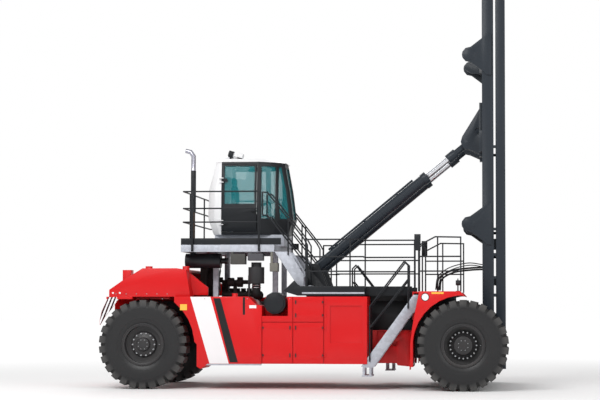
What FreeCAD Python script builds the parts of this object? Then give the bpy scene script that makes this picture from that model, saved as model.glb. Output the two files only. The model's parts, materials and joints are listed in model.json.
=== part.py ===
import FreeCAD, Part
import math
import os

# A laden container handler: a four-wheeled lift truck with a two-stage mast, a carriage and a
# telescopic top spreader for twenty to forty foot containers. Millimetres, +X to the mast,
# +Y to the truck's left, +Z up. Every X below is measured from the drive axle's centre line.
# The last step moves all of it so that the origin is under the middle of the whole machine.

V = FreeCAD.Vector

# Running gear
WHEELBASE = 6770
TYRE_RADIUS = 940
TYRE_WIDTH = 480
TYRE_BORE = 430
LUG_HEIGHT = 36
LUG_HALF = 70
LUG_COUNT = 26
DUAL_PITCH = 600
DRIVE_FACE = 2085
STEER_FACE = 1650
KINGPIN_Y = 1050
KINGPIN_R = 60
SPINDLE_R = 95
AXLE_HEIGHT = TYRE_RADIUS
AXLE_TUBE = 205
SEAT = 0.3
RUN = 7

# Chassis
RAIL_INNER = 640
RAIL_OUTER = 760
RAIL_BOTTOM = 640
RAIL_TOP = 1860
RAIL_FRONT = 260
RAIL_REAR = -WHEELBASE + 1340
STUB_HALF = 370
STUB_BOTTOM = 1240
TAIL_X = -WHEELBASE - 930
DECK_Z = 2030
DECK_HALF = 1700
KICK_HEIGHT = 140
BODY_SIDE = 1750
BODY_BOTTOM = 545
BODY_TOP = 1950

# Side bodywork, along X
ARCH_RADIUS = 1130
TANK_REAR = -WHEELBASE + 1185
TANK_FRONT = -4205
CABINET_FRONT = -2905
LOCKER_FRONT = -2000
FENDER_RADIUS = 1060
DOOR_SEAM = 1416
DRUM_BAY = 1545

# Engine and gearbox
ENGINE_REAR = RAIL_REAR + 90
ENGINE_FRONT = -4560
CRANK_Z = 1250
CYLINDERS = 6

# Operator station
PLATFORM_Z = 3050
PLATFORM_REAR = -5985
PLATFORM_FRONT = -3990
PLATFORM_HALF = 1500
CHANNEL_DEPTH = 150
CAB_FLOOR_Z = 3300
CAB_WALL = 55
GLASS = 8
RAIL_PIPE = 15
POST_PIPE = 22
CORNER_REACH = 1 / math.cos(math.pi / 6)

# Mast. The uprights are C sections that open towards the truck's middle.
MAST_PIVOT_X = 520
MAST_PIVOT_Z = 760
MAST_PIN_R = 70
OUTER_REAR = 395
OUTER_DEPTH = 245
OUTER_SIDE = 955
OUTER_FLANGE = 130
OUTER_BOTTOM = 360
OUTER_TOP = 10600
MAST_GAP = 48
INNER_DEPTH = 200
INNER_SIDE = 925
INNER_FLANGE = 150
INNER_BOTTOM = 420
INNER_TOP = 10750
PLATE = 30
LIFT_TRAVEL = 4700
HEAD_TRAVEL = 3350

# Tilt cylinders
TILT_Y = 560
TILT_LOW_X = -3229
TILT_LOW_Z = 2543
TILT_HIGH_X = 85
TILT_HIGH_Z = 5269
TILT_BARREL_R = 112
TILT_ROD_R = 62
TILT_BARREL_LENGTH = 3160
TILT_PIN_R = 55
TILT_DRIFT = 14

# Spreader
SPREADER_X = 2420
LOCK_X = 2259
LOCK_Y = 5853
GUIDE_REACH = 190.5
ARM_TRAVEL = 3050
BEAM_WIDTH = 330
BEAM_HEIGHT = 420
BEAM_WALL = 16
BEAM_Z = 9850
BEAM_PITCH = 420
BEAM_HALF = 2640

nodes = {}


def box(x, y, z):
    """A block between two values on each axis."""
    return Part.makeBox(x[1] - x[0], y[1] - y[0], z[1] - z[0], V(x[0], y[0], z[0]))


def polygon(points):
    """A closed wire through points given as vectors."""
    return Part.makePolygon(list(points) + [points[0]])


def plate_xz(points, y0, y1):
    """A side profile of (x, z) points, as thick as y0 to y1."""
    wire = polygon([V(x, y0, z) for x, z in points])
    return Part.Face(wire).extrude(V(0, y1 - y0, 0))


def plate_yz(points, x0, x1):
    """A front profile of (y, z) points, from x0 to x1."""
    wire = polygon([V(x0, y, z) for y, z in points])
    return Part.Face(wire).extrude(V(x1 - x0, 0, 0))


def flat_ring(p, q, across, sides, turn=0.5):
    """The corners, round p, of a flat-sided bar that runs towards q; half a turn step puts a flat on top."""
    axis = (q - p).normalize()
    up = V(1, 0, 0) if abs(axis.z) > 0.99 else (V(0, 0, 1) - axis * axis.z).normalize()
    beside = axis.cross(up)
    reach = across / math.cos(math.pi / sides)
    turns = [2 * math.pi * (i + turn) / sides for i in range(sides)]
    return polygon([p + up * (reach * math.cos(t)) + beside * (reach * math.sin(t)) for t in turns])


def side_count(across):
    """How many flats a bar gets, by its half width across them."""
    return 6 if across < 30 else 8 if across < 80 else 12


def flat_bar(p, q, across):
    """A flat-sided bar from p to q, across being half its width from flat to flat."""
    p, q = V(*p), V(*q)
    return Part.Face(flat_ring(p, q, across, side_count(across))).extrude(q - p)


def round_pin(p, q, radius):
    """A round pin from p to q, on which something turns."""
    p, q = V(*p), V(*q)
    return Part.makeCylinder(radius, (q - p).Length, p, q - p)


def pin_hole(p, q, radius, play=SEAT):
    """The flat-sided hole in which a round pin of that radius turns, with that play."""
    p, q = V(*p), V(*q)
    return Part.Face(flat_ring(p, q, radius + play, side_count(radius), 0)).extrude(q - p)


def boss_y(x, z, y0, y1, across):
    """A flat-sided boss across the truck at (x, z)."""
    return flat_bar((x, y0, z), (x, y1, z), across)


def pipe(points, across=RAIL_PIPE):
    """A flat-sided pipe with mitred corners along points."""
    path = Part.makePolygon([V(*p) for p in points])
    ring = flat_ring(V(*points[0]), V(*points[1]), across, side_count(across))
    return path.makePipeShell([ring], True, False, 1)


def mirror(shape):
    """The same shape on the other side of the truck."""
    return shape.mirror(V(0, 0, 0), V(0, 1, 0))


def both(shape):
    return [shape, mirror(shape)]


def fuse(shapes):
    shapes = list(shapes)
    return shapes[0] if len(shapes) == 1 else shapes[0].multiFuse(shapes[1:]).removeSplitter()


def group(shapes):
    """Solids that don't touch, in one node."""
    solids = []
    for shape in shapes:
        solids.extend(shape.Solids)
    return Part.makeCompound(solids)


WHEEL_PITCH = 2 * math.pi / LUG_COUNT


def wheel_ring(profile, x, y):
    """A ring round a wheel's axis from (corner radius, offset along Y) points, one flat for each lug."""
    def corner(radius, offset, i):
        turn = (i + 0.5) * WHEEL_PITCH
        return V(x + radius * math.sin(turn), y + offset, AXLE_HEIGHT + radius * math.cos(turn))

    faces = []
    for (r0, w0), (r1, w1) in zip(profile, profile[1:] + profile[:1]):
        for i in range(LUG_COUNT):
            corners = [corner(r0, w0, i)]
            if r1 > 0:
                corners += [corner(r1, w1, i), corner(r1, w1, i + 1)]
            else:
                corners.append(corner(0, w1, i))
            if r0 > 0:
                corners.append(corner(r0, w0, i + 1))
            if r0 > 0 or r1 > 0:
                faces.append(Part.Face(polygon(corners)))
    solid = Part.Solid(Part.Shell(faces))
    if solid.Volume < 0:
        solid.reverse()
    return solid


# Wheels

FLAT_TO_CORNER = 1 / math.cos(WHEEL_PITCH / 2)


def tyre(x, y):
    """One tyre centred at (x, y), with bars across its tread."""
    half = TYRE_WIDTH / 2
    base = TYRE_RADIUS - LUG_HEIGHT
    # columns: corner radius, share of the half width
    side = ((TYRE_BORE + SEAT * FLAT_TO_CORNER, 0.74), (TYRE_BORE + 190, 1.0), (base, 0.80))
    section = [(r, half * w) for r, w in side] + [(r, -half * w) for r, w in reversed(side)]
    body = wheel_ring(section, x, y)
    outline = [(base - 130, half * 0.885), (TYRE_RADIUS, half * 0.85),
               (TYRE_RADIUS, -half * 0.85), (base - 130, -half * 0.885)]
    wire = polygon([V(x - LUG_HALF, y + w, AXLE_HEIGHT + r) for r, w in outline])
    lug = Part.Face(wire).extrude(V(2 * LUG_HALF, 0, 0))
    lugs = []
    for i in range(LUG_COUNT):
        turned = lug.copy()
        turned.rotate(V(x, y, AXLE_HEIGHT), V(0, 1, 0), 360.0 * i / LUG_COUNT)
        lugs.append(turned)
    return fuse([body] + lugs)


RIM_SEAT = TYRE_WIDTH * 0.37
RIM_FLANGE = TYRE_BORE + 28
FLANGE_LEAN = 10.2
RIM_INSIDE = TYRE_BORE - 34
HUB_BORE = (SPINDLE_R + SEAT) * FLAT_TO_CORNER
SPINDLE_END = 65


def drive_wheels(side):
    """Twin tyres, and the two rims, drum and hub that carry them; side is -1 right, +1 left."""
    outer_y = side * (DRIVE_FACE - TYRE_WIDTH / 2)
    inner_y = outer_y - side * DUAL_PITCH
    tyres = group([tyre(0, outer_y), tyre(0, inner_y)])
    drum = RIM_INSIDE - 25
    # columns: corner radius, offset outwards from the outer tyre's middle
    section = [(RIM_INSIDE, RIM_SEAT + 12), (RIM_FLANGE, RIM_SEAT + 22), (RIM_FLANGE, RIM_SEAT + FLANGE_LEAN),
               (TYRE_BORE, RIM_SEAT + 1), (TYRE_BORE, -RIM_SEAT), (RIM_INSIDE + 10, -RIM_SEAT),
               (RIM_INSIDE + 10, RIM_SEAT - DUAL_PITCH), (TYRE_BORE, RIM_SEAT - DUAL_PITCH),
               (TYRE_BORE, -RIM_SEAT - DUAL_PITCH - 1), (RIM_FLANGE, -RIM_SEAT - DUAL_PITCH - FLANGE_LEAN),
               (RIM_FLANGE, -RIM_SEAT - DUAL_PITCH - 22), (drum, -RIM_SEAT - DUAL_PITCH - 22), (drum, -180),
               (230, -180), (230, -450), (HUB_BORE, -450), (HUB_BORE, 5 - SPINDLE_END), (0, 5 - SPINDLE_END),
               (0, 40), (190, 30), (200, -20), (300, -60), (300, -120), (RIM_INSIDE, -120)]
    return tyres, wheel_ring([(r, side * w) for r, w in section], 0, outer_y)


def steer_wheel(side):
    """A single tyre with its rim and hub at the rear."""
    x, y = -WHEELBASE, side * (STEER_FACE - TYRE_WIDTH / 2)
    section = [(RIM_INSIDE, RIM_SEAT + 12), (RIM_FLANGE, RIM_SEAT + 22), (RIM_FLANGE, RIM_SEAT + FLANGE_LEAN),
               (TYRE_BORE, RIM_SEAT + 1), (TYRE_BORE, -RIM_SEAT - 1), (RIM_FLANGE, -RIM_SEAT - FLANGE_LEAN),
               (RIM_FLANGE, -RIM_SEAT - 22), (RIM_INSIDE, -RIM_SEAT - 12), (RIM_INSIDE, 0), (240, -90),
               (HUB_BORE, -90), (HUB_BORE, 80), (0, 80), (0, 180), (130, 170), (150, 110), (250, 90), (280, 40),
               (RIM_INSIDE, 40)]
    return tyre(x, y), wheel_ring([(r, side * w) for r, w in section], x, y)


def knuckle(side):
    """The steering knuckle: kingpin sleeve, steering arm and wheel spindle."""
    x, y = -WHEELBASE, side * KINGPIN_Y
    sleeve = flat_bar((x, y, AXLE_HEIGHT - 165), (x, y, AXLE_HEIGHT + 165), 102)
    bore = pin_hole((x, y, AXLE_HEIGHT - 170), (x, y, AXLE_HEIGHT + 170), KINGPIN_R)
    tip = side * (STEER_FACE - TYRE_WIDTH / 2 + 75)
    spindle = round_pin((x, y + side * 80, AXLE_HEIGHT), (x, tip, AXLE_HEIGHT), SPINDLE_R)
    arm = box((x - 300, x - 60), (y - 35, y + 35), (AXLE_HEIGHT - 30, AXLE_HEIGHT + 30))
    return fuse([sleeve, spindle, arm]).cut(bore)


def steer_axle():
    """The fabricated rear beam with its kingpins and its steering cylinder."""
    x = -WHEELBASE
    reach = KINGPIN_Y - 290
    low, high = AXLE_HEIGHT - 190, AXLE_HEIGHT + 190
    beam = plate_yz([(-reach, low), (-420, low - 40), (420, low - 40), (reach, low), (reach, high),
                     (420, high + 40), (-420, high + 40), (-reach, high)], x - 170, x + 170)
    parts = [beam]
    for y in (-KINGPIN_Y, KINGPIN_Y):
        parts.append(box((x - 70, x + 70), sorted((y * 0.7, y * 0.88)), (AXLE_HEIGHT - 240, AXLE_HEIGHT + 240)))
        for z in (AXLE_HEIGHT - 245, AXLE_HEIGHT + 171):
            parts.append(box((x - 105, x + 105), sorted((y * 0.8, y)), (z, z + 74)))
            parts.append(flat_bar((x, y, z), (x, y, z + 74), 105))
        parts.append(round_pin((x, y, AXLE_HEIGHT - 245), (x, y, AXLE_HEIGHT + 245), KINGPIN_R))
    parts.append(flat_bar((x - 260, -360, AXLE_HEIGHT), (x - 260, 360, AXLE_HEIGHT), 72))
    parts.append(flat_bar((x - 260, -620, AXLE_HEIGHT), (x - 260, 620, AXLE_HEIGHT), 29))
    parts.append(box((x - 260, x - 150), (-300, 300), (AXLE_HEIGHT - 40, AXLE_HEIGHT + 40)))
    parts.append(box((x - 120, x + 120), (-140, 140), (AXLE_HEIGHT + 220, STUB_BOTTOM)))
    return fuse(parts)


def drive_axle():
    """The drive axle housing with its differential, brake housings and hub spindles."""
    tip = DRIVE_FACE - TYRE_WIDTH / 2 - SPINDLE_END
    z = AXLE_HEIGHT
    parts = [boss_y(0, z, -930, 930, AXLE_TUBE), boss_y(0, z, -210, 210, 320), round_pin((0, -tip, z), (0, tip, z), SPINDLE_R),
             flat_bar((-560, 0, z), (0, 0, z), 150)]
    parts += [boss_y(0, z, y, y + 110, 280) for y in (-985, 875)]
    return fuse(parts)


# Chassis

def chassis_frame():
    """Two deep box rails, the rear stub over the steer axle, cross members and mast hangers."""
    parts = []
    seat_z = AXLE_HEIGHT + AXLE_TUBE + SEAT
    for side in (-1, 1):
        y = sorted((side * RAIL_INNER, side * RAIL_OUTER))
        profile = [(RAIL_REAR, RAIL_BOTTOM + 340), (RAIL_REAR + 420, RAIL_BOTTOM), (-520, RAIL_BOTTOM),
                   (-330, seat_z), (RAIL_FRONT, seat_z), (RAIL_FRONT, 1500), (-200, RAIL_TOP),
                   (RAIL_REAR, RAIL_TOP)]
        parts.append(plate_xz(profile, *y))
        hanger = [(-150, 1450), (RAIL_FRONT, 1450), (MAST_PIVOT_X + 115, MAST_PIVOT_Z + 40),
                  (MAST_PIVOT_X + 115, MAST_PIVOT_Z - 110), (MAST_PIVOT_X - 110, MAST_PIVOT_Z - 110),
                  (300, 900), (RAIL_FRONT, seat_z), (-150, seat_z)]
        for y0, y1 in ((598, 641), (742, 776)):
            parts.append(plate_xz(hanger, *sorted((side * y0, side * y1))))
        parts.append(round_pin((MAST_PIVOT_X, side * 592, MAST_PIVOT_Z), (MAST_PIVOT_X, side * 780, MAST_PIVOT_Z),
                               MAST_PIN_R))
    for x0, x1, top in ((RAIL_REAR, RAIL_REAR + 60, RAIL_TOP), (-3300, -3180, RAIL_TOP),
                        (-1500, -1420, RAIL_TOP), (60, 160, 1480)):
        parts.append(box((x0, x1), (-RAIL_INNER - 20, RAIL_INNER + 20), (AXLE_HEIGHT + 340, top)))
    parts.append(box((-WHEELBASE - 480, RAIL_REAR + 40), (-STUB_HALF, STUB_HALF), (STUB_BOTTOM, RAIL_TOP)))
    return fuse(parts)


GEARBOX_X = (-4300, -3420)


def drivetrain():
    """Bell housing, transmission under the deck and the shaft to the drive axle."""
    bell = flat_bar((ENGINE_FRONT + SEAT, 0, CRANK_Z), (GEARBOX_X[0] + 10, 0, CRANK_Z), 290)
    case = box(GEARBOX_X, (-300, 300), (AXLE_HEIGHT - 180, CRANK_Z + 230))
    shaft_x = (GEARBOX_X[1] - 5, -561)
    shaft = flat_bar((shaft_x[0], 0, AXLE_HEIGHT), (shaft_x[1], 0, AXLE_HEIGHT), 60)
    yokes = [flat_bar((x, 0, AXLE_HEIGHT), (x + 110, 0, AXLE_HEIGHT), 100) for x in (shaft_x[0], shaft_x[1] - 110)]
    tie = box((-4200, -4080), (-RAIL_INNER, RAIL_INNER), (CRANK_Z - 60, CRANK_Z + 60))
    return fuse([bell, case, shaft, tie] + yokes)


ENGINE_DECK = 1930
COOLER_X = (-5745, -5605)


def engine():
    """The diesel, open to view: sump, block, heads, manifolds, turbo, drive belt, fan and cooler."""
    rear, front = ENGINE_REAR, ENGINE_FRONT
    parts = [box((rear, front), (-290, 290), (CRANK_Z - 100, ENGINE_DECK)),
             box((rear + 60, front - 60), (-210, 210), (CRANK_Z - 420, CRANK_Z - 90))]
    pitch = (front - rear) / CYLINDERS
    for i in range(CYLINDERS):
        x = rear + pitch * (i + 0.5)
        parts.append(box((x - 52, x + 52), (-230, 230), (ENGINE_DECK - 10, ENGINE_DECK + 150)))
        parts.append(box((x - 38, x + 38), (-120, 120), (ENGINE_DECK + 140, ENGINE_DECK + 215)))
        parts.append(box((x - 22, x + 22), (-350, -220), (ENGINE_DECK + 50, ENGINE_DECK + 95)))
    manifold_z = ENGINE_DECK + 75
    parts.append(flat_bar((rear + 40, -365, manifold_z), (front - 30, -365, manifold_z), 46))
    parts.append(box((rear + 40, front - 30), (220, 330), (ENGINE_DECK + 20, ENGINE_DECK + 120)))
    turbo = rear + 330
    parts.append(flat_bar((turbo, -365, manifold_z), (turbo, -365, manifold_z + 230), 40))
    parts.append(flat_bar((turbo - 150, -400, manifold_z + 270), (turbo - 20, -400, manifold_z + 270), 95))
    parts.append(flat_bar((turbo - 20, -400, manifold_z + 270), (turbo + 60, -400, manifold_z + 270), 50))
    parts.append(flat_bar((turbo + 60, -400, manifold_z + 270), (turbo + 170, -400, manifold_z + 270), 110))
    parts.append(pipe([(turbo + 170, -400, manifold_z + 270), (turbo + 330, -400, manifold_z + 270),
                       (turbo + 330, 260, manifold_z + 330), (turbo + 330, 280, ENGINE_DECK + 100)], 45))
    for y0, y1 in ((280, RAIL_INNER), (-RAIL_INNER, -280)):
        parts.append(box((rear + 380, rear + 500), (y0, y1), (CRANK_Z + 260, CRANK_Z + 340)))
    fan_z = 2330
    parts.append(box((rear - 20, rear + 120), (-60, 60), (ENGINE_DECK - 20, fan_z)))
    parts.append(flat_bar((rear - 150, 0, fan_z), (rear - 10, 0, fan_z), 60))
    for i in range(8):
        blade = box((rear - 110, rear - 95), (-45, 45), (fan_z + 40, fan_z + 330))
        blade.rotate(V(rear, 0, fan_z), V(1, 0, 0), 45 * i)
        parts.append(blade)
    cooler = [box(COOLER_X, (-560, 560), (RAIL_TOP + SEAT, 2880)),
              flat_bar((COOLER_X[1], 0, fan_z), (COOLER_X[1] + 90, 0, fan_z), 400).cut(
                  flat_bar((COOLER_X[1] - 5, 0, fan_z), (COOLER_X[1] + 95, 0, fan_z), 380))]
    return group([fuse(parts), fuse(cooler)])


# Bodywork

def arch_cut(x_centre, radius, y0, y1):
    """A wheel arch as a flat-sided cylinder across the truck."""
    sides = 32
    reach = radius / math.cos(math.pi / sides)
    turns = [2 * math.pi * (i + 0.5) / sides for i in range(sides)]
    corners = [V(x_centre + reach * math.sin(t), y0, AXLE_HEIGHT + reach * math.cos(t)) for t in turns]
    return Part.Face(polygon(corners)).extrude(V(0, y1 - y0, 0))


def tank(side):
    """Side tank ahead of the rear wheel, with the wheel arch cut in its rear end."""
    y = sorted((side * (RAIL_OUTER + 40), side * BODY_SIDE))
    rear = -WHEELBASE + ARCH_RADIUS * 0.62
    front = TANK_FRONT - RUN
    profile = [(rear, BODY_TOP), (rear, 1500), (TANK_REAR, 950), (TANK_REAR, BODY_BOTTOM - 60),
               (TANK_REAR + 80, BODY_BOTTOM - 107), (TANK_REAR + 232, BODY_BOTTOM), (front, BODY_BOTTOM),
               (front, BODY_TOP - 190), (TANK_FRONT - 130, BODY_TOP - 170), (TANK_FRONT - 300, BODY_TOP)]
    block = plate_xz(profile, *y)
    arch = arch_cut(-WHEELBASE, ARCH_RADIUS, *sorted((side * (RAIL_OUTER + 30), side * (BODY_SIDE + 10))))
    filler = flat_bar((-4800, side * 1620, BODY_TOP - 1), (-4800, side * 1620, BODY_TOP + 69), 58)
    parts = [block.cut(arch), filler]
    parts += [box((x, x + 60), sorted((side * RAIL_OUTER, side * (RAIL_OUTER + 45))), (900, 1700))
              for x in (-5100, -4500)]
    if side < 0:
        parts += [hinge_bracket(TANK_FRONT + RUN + HINGE_IN, z, TANK_FRONT - RUN - 45) for z in LOWER_HINGES]
    return fuse(parts)


HINGE_IN = 18
HINGE_OUT = 11
HINGE_LENGTH = 46
HINGE_PIN = 5
HINGE_EAR = 7
LOWER_HINGES = (725, 1300)
UPPER_HINGES = (1560, 1833)
DOOR_BACK = 37


def hinge_bracket(x, z, x_fixed):
    """The fixed half of a door hinge: a pin with an ear above and below, and its strap."""
    y = -BODY_SIDE - HINGE_OUT
    foot = z - HINGE_LENGTH / 2 - 11
    parts = [round_pin((x, y, foot), (x, y, foot + HINGE_LENGTH + 22), HINGE_PIN)]
    for z0 in (foot, z + HINGE_LENGTH / 2 + 0.5):
        ear = sorted((x - math.copysign(HINGE_EAR, x_fixed - x), x_fixed))
        parts.append(box(ear, (y - HINGE_EAR, y + HINGE_EAR), (z0, z0 + 10.5)))
    near = x_fixed + (38 if x > x_fixed else -38)
    parts.append(box(sorted((near, x_fixed)), (y - 5, -BODY_SIDE + 2), (foot, foot + HINGE_LENGTH + 22)))
    return fuse(parts)


def cabinet_right():
    """Hollow right cabinet behind three hinged doors, and the closed locker with its recessed panel."""
    y_in, y_out = RAIL_OUTER + 40, BODY_SIDE
    back = -(y_out - DOOR_BACK)
    shell = box((TANK_FRONT, CABINET_FRONT), (back, -y_in), (BODY_BOTTOM, BODY_TOP))
    room = box((TANK_FRONT + 40, CABINET_FRONT - 40), (-y_out, -(y_in + 40)), (BODY_BOTTOM + 40, BODY_TOP - 40))
    drum_shell = box((TANK_FRONT, TANK_FRONT + 585), (back, -(y_out - 460)), (DRUM_BAY - 38, BODY_TOP))
    drum_bay = box((TANK_FRONT - 1, TANK_FRONT + 545), (-y_out - 1, -(y_out - 420)), (DRUM_BAY, BODY_TOP + 1))
    fixed = box((TANK_FRONT, TANK_FRONT + 643), (-y_out, back), (DOOR_SEAM + RUN, DRUM_BAY))
    jamb = box((TANK_FRONT + 545, TANK_FRONT + 643), (-y_out, back), (DRUM_BAY, BODY_TOP))
    post = box((TANK_FRONT + 625, TANK_FRONT + 675), (back, -(y_out - 110)), (BODY_BOTTOM, BODY_TOP))
    rail = box((TANK_FRONT, CABINET_FRONT), (back, -(y_out - 80)), (DOOR_SEAM - 35, DOOR_SEAM + 35))
    locker = plate_xz([(CABINET_FRONT + RUN, BODY_BOTTOM), (LOCKER_FRONT, BODY_BOTTOM),
                       (LOCKER_FRONT, BODY_TOP), (CABINET_FRONT + RUN, BODY_TOP)], -y_out, -y_in)
    recess = box((CABINET_FRONT + 130, LOCKER_FRONT - 110), (-y_out - 5, -y_out + 25),
                 (BODY_BOTTOM + 440, BODY_TOP - 190))
    tie = box((CABINET_FRONT - 30, CABINET_FRONT + 30), (-y_in - 200, -y_in), (900, 1700))
    parts = [shell.cut(room).fuse(drum_shell).cut(drum_bay), fixed, jamb, post, rail, locker.cut(recess), tie]
    parts += [recess_back(-1, LOCKER_FRONT - 5)] + rail_straps(-1)
    front = CABINET_FRONT + RUN + 45
    parts += [hinge_bracket(CABINET_FRONT - RUN - HINGE_IN, z, front) for z in LOWER_HINGES + UPPER_HINGES]
    return fuse(parts)


def cabinet_left():
    """Closed left cabinet: panels with pressed fields, then the step recess."""
    y_in, y_out = RAIL_OUTER + 40, BODY_SIDE
    block = box((TANK_FRONT, CABINET_FRONT + 60), (y_in, y_out), (BODY_BOTTOM, BODY_TOP))
    for x0, x1 in ((TANK_FRONT + 60, TANK_FRONT + 640), (TANK_FRONT + 700, CABINET_FRONT)):
        block = block.cut(box((x0, x1), (y_out - 12, y_out + 5), (BODY_BOTTOM + 80, BODY_TOP - 120)))
    return fuse([block, recess_back(1, CABINET_FRONT + 50)] + rail_straps(1))


def recess_back(side, x0):
    """The red lower box behind a ladder, with its opening and its round hole."""
    near, far = side * (RAIL_OUTER + 40), side * 1160
    low = plate_xz([(x0, BODY_BOTTOM), (-1420, BODY_BOTTOM), (-1400, 500), (-1101, 470), (-1092, 1240), (x0, 1240)],
                   *sorted((near, far)))
    opening = box((x0 + 170, x0 + 350), sorted((far, side * 1100)), (1000, 1225))
    hole = boss_y(-1460, 960, *sorted((side * 1080, side * 1165)), 58)
    return low.cut(opening).cut(hole)


def rail_straps(side):
    return [box((x, x + 60), sorted((side * RAIL_OUTER, side * (RAIL_OUTER + 45))), (900, 1150))
            for x in (-3900, -2500, -1600)]


def side_door(x0, x1, z0, z1, hinge_at_front, hinges):
    """A hinged cabinet leaf on the right side, folded at its edges, with hinge barrels and latches."""
    y0, y1 = -BODY_SIDE, -BODY_SIDE + 28
    fold = box((x0 + RUN, x1 - RUN), (y0, y1), (z0 + RUN, z1 - RUN))
    inside = box((x0 + RUN + 20, x1 - RUN - 20), (y0 + 6, y1 + 1), (z0 + RUN + 20, z1 - RUN - 20))
    x_hinge = x1 - RUN - HINGE_IN if hinge_at_front else x0 + RUN + HINGE_IN
    latch_x = x0 + 60 if hinge_at_front else x1 - 60
    parts = [fold.cut(inside)]
    parts += [box((latch_x - 12, latch_x + 12), (y0 - 14, y0), (z - 40, z + 40)) for z in hinges]
    y = y0 - HINGE_OUT
    low = HINGE_LENGTH / 2
    parts += [flat_bar((x_hinge, y, z - low), (x_hinge, y, z + low), 11) for z in hinges]
    door = fuse(parts)
    for z in hinges:
        door = door.cut(pin_hole((x_hinge, y, z - low - 1), (x_hinge, y, z + low + 1), HINGE_PIN))
    return door


HOOD_BASE = BODY_TOP + SEAT
HOOD_HALF = 1600
HOOD_OUTLINE = ((-7500, HOOD_BASE), (-7500, 2096), (-7220, 2290), (-6783, 2553), (-6050, 2553),
                (-5850, 2515), (-5800, 2200), (-5760, HOOD_BASE))


def rear_hood():
    """The rear cowl over the steer wheels, its inner side panels, lifting bosses and lamp posts."""
    cowl = plate_xz(HOOD_OUTLINE, -HOOD_HALF, HOOD_HALF)
    inset = plate_xz([(-5990, 1985), (-5990, 2500), (-5870, 2480), (-5450, 2150), (-5450, 1985)], -1250, 1250)
    hollow = box((-6800, -5400), (-1150, 1150), (1900, 2470))
    inset_room = box((-5755, -5400), (-1150, 1150), (1900, 2600))
    bosses = []
    for side in (-1, 1):
        for x in (-6700, -5900):
            bosses.append(flat_bar((x, side * 1350, 2480), (x, side * 1350, 2600), 70))
        bosses.append(box((-7240, -7060), sorted((side * 1250, side * 1480)), (2200, 2520)))
    return fuse([cowl, inset] + bosses).cut(hollow).cut(inset_room)


# How far the steered tyre reaches from its kingpin, and the scoop that clears it
SWING_RADIUS = 1000
CORNER_PLATE = 25


def counterweight():
    """The cast rear mass, scooped for the steered wheels, with its corner plates and towing jaw."""
    tail = TAIL_X + 60
    profile = [(TAIL_X + 280, BODY_TOP), (TAIL_X + 140, BODY_TOP), (tail, 1790), (tail, 1450),
               (tail + 20, 1150), (TAIL_X + 180, 700), (TAIL_X + 500, 560), (TAIL_X + 590, 560),
               (TAIL_X + 590, 1250), (TAIL_X + 1420, 1250), (TAIL_X + 1420, BODY_TOP)]
    mass = plate_xz(profile, -1230, 1230)
    for side in (-1, 1):
        centre = V(-WHEELBASE, side * KINGPIN_Y, 500)
        swing = Part.Face(flat_ring(centre, centre + V(0, 0, 1), SWING_RADIUS, 28)).extrude(V(0, 0, 1400))
        outside = box((TAIL_X + 20, -6000), sorted((side * KINGPIN_Y, side * 1400)), (500, 1900))
        mass = mass.cut(swing).cut(outside)
    saddle = box((-WHEELBASE - 480 - SEAT, -5900), (-STUB_HALF - SEAT, STUB_HALF + SEAT),
                 (STUB_BOTTOM - SEAT, RAIL_TOP + SEAT))
    mass = mass.cut(saddle)
    parts = [mass, box((TAIL_X + 140, TAIL_X + 700), (-1600, 1600), (1900, BODY_TOP))]
    # columns: x, z of a corner plate's outline, clear of the tyre that swings beside it
    corner = [(TAIL_X + 370, BODY_TOP), (TAIL_X + 185, BODY_TOP), (TAIL_X + 40, 1640), (TAIL_X, 1440),
              (TAIL_X, 1350), (TAIL_X + 15, 1350), (TAIL_X + 110, 1520), (TAIL_X + 250, 1690), (TAIL_X + 370, 1850)]
    for side in (-1, 1):
        parts.append(plate_xz(corner, *sorted((side * (1600 - CORNER_PLATE), side * 1600))))
    parts += [box((TAIL_X - 40, TAIL_X + 140), (-150, 150), (z, z + 40)) for z in (820, 960)]
    parts.append(flat_bar((TAIL_X + 20, 0, 790), (TAIL_X + 20, 0, 1050), 30))
    parts.append(box((TAIL_X + 100, TAIL_X + 200), (-240, 240), (760, 1100)))
    return fuse(parts)


def front_fender(side):
    """Curved guard over the twin drive wheels, with its flat top and its side plate."""
    y0, y1 = sorted((side * 1165, side * 2060))
    out0, out1 = sorted((side * 2035, side * 2060))
    outline = [(20, 1965), (-60, 2057), (-900, 2057), (-985, 1640), (-1045, 1300), (-1085, 1000),
               (-1085, 500), (60, 500), (60, 1500)]
    arch = arch_cut(0, FENDER_RADIUS - 30, y0 - 5, y1 + 5)
    below = box((-FENDER_RADIUS + 30, 400), (y0 - 5, y1 + 5), (300, AXLE_HEIGHT))
    side_plate = plate_xz(outline, out0, out1).cut(arch).cut(below)
    guard = arch_cut(0, FENDER_RADIUS, y0, y1)
    guard = guard.fuse(box((-FENDER_RADIUS, 0), (y0, y1), (500, AXLE_HEIGHT))).cut(arch).cut(below)
    guard = guard.common(plate_xz([(20, 1965), (-60, 2057), (-1100, 2057), (-1100, 500), (20, 500)], y0, y1))
    top = plate_xz([(20, 1955), (20, 1965), (-60, 2057), (-900, 2057), (-893, 2020), (-75, 2020), (5, 1955)],
                   y0, y1)
    walk0, walk1 = sorted((side * (RAIL_OUTER + 5), side * 1170))
    walk = box((-1085, -130), (walk0, walk1), (2020, 2057))
    prop = box((-1085, -1050), (walk0, walk1), (RAIL_TOP - 400, 2030))
    flap = box((-1100, -1086), sorted((side * 1700, side * 2040)), (440, 640))
    flap_tie = box((-1100, -1060), sorted((side * 1700, side * 2040)), (560, 600))
    foot = box((-1085, -1050), sorted((side * RAIL_OUTER, side * 1170)), (1300, 1360))
    return fuse([side_plate, guard, top, walk, prop, flap, flap_tie, foot])


# Decks, steps and rails

WELL_X = (-2060, -1090)
LEFT_WELL_X = (-2900, -1090)
WELL_Y = 1150
DECK_REAR = -3400
RAIL_LINE = DECK_HALF - 30


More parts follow.
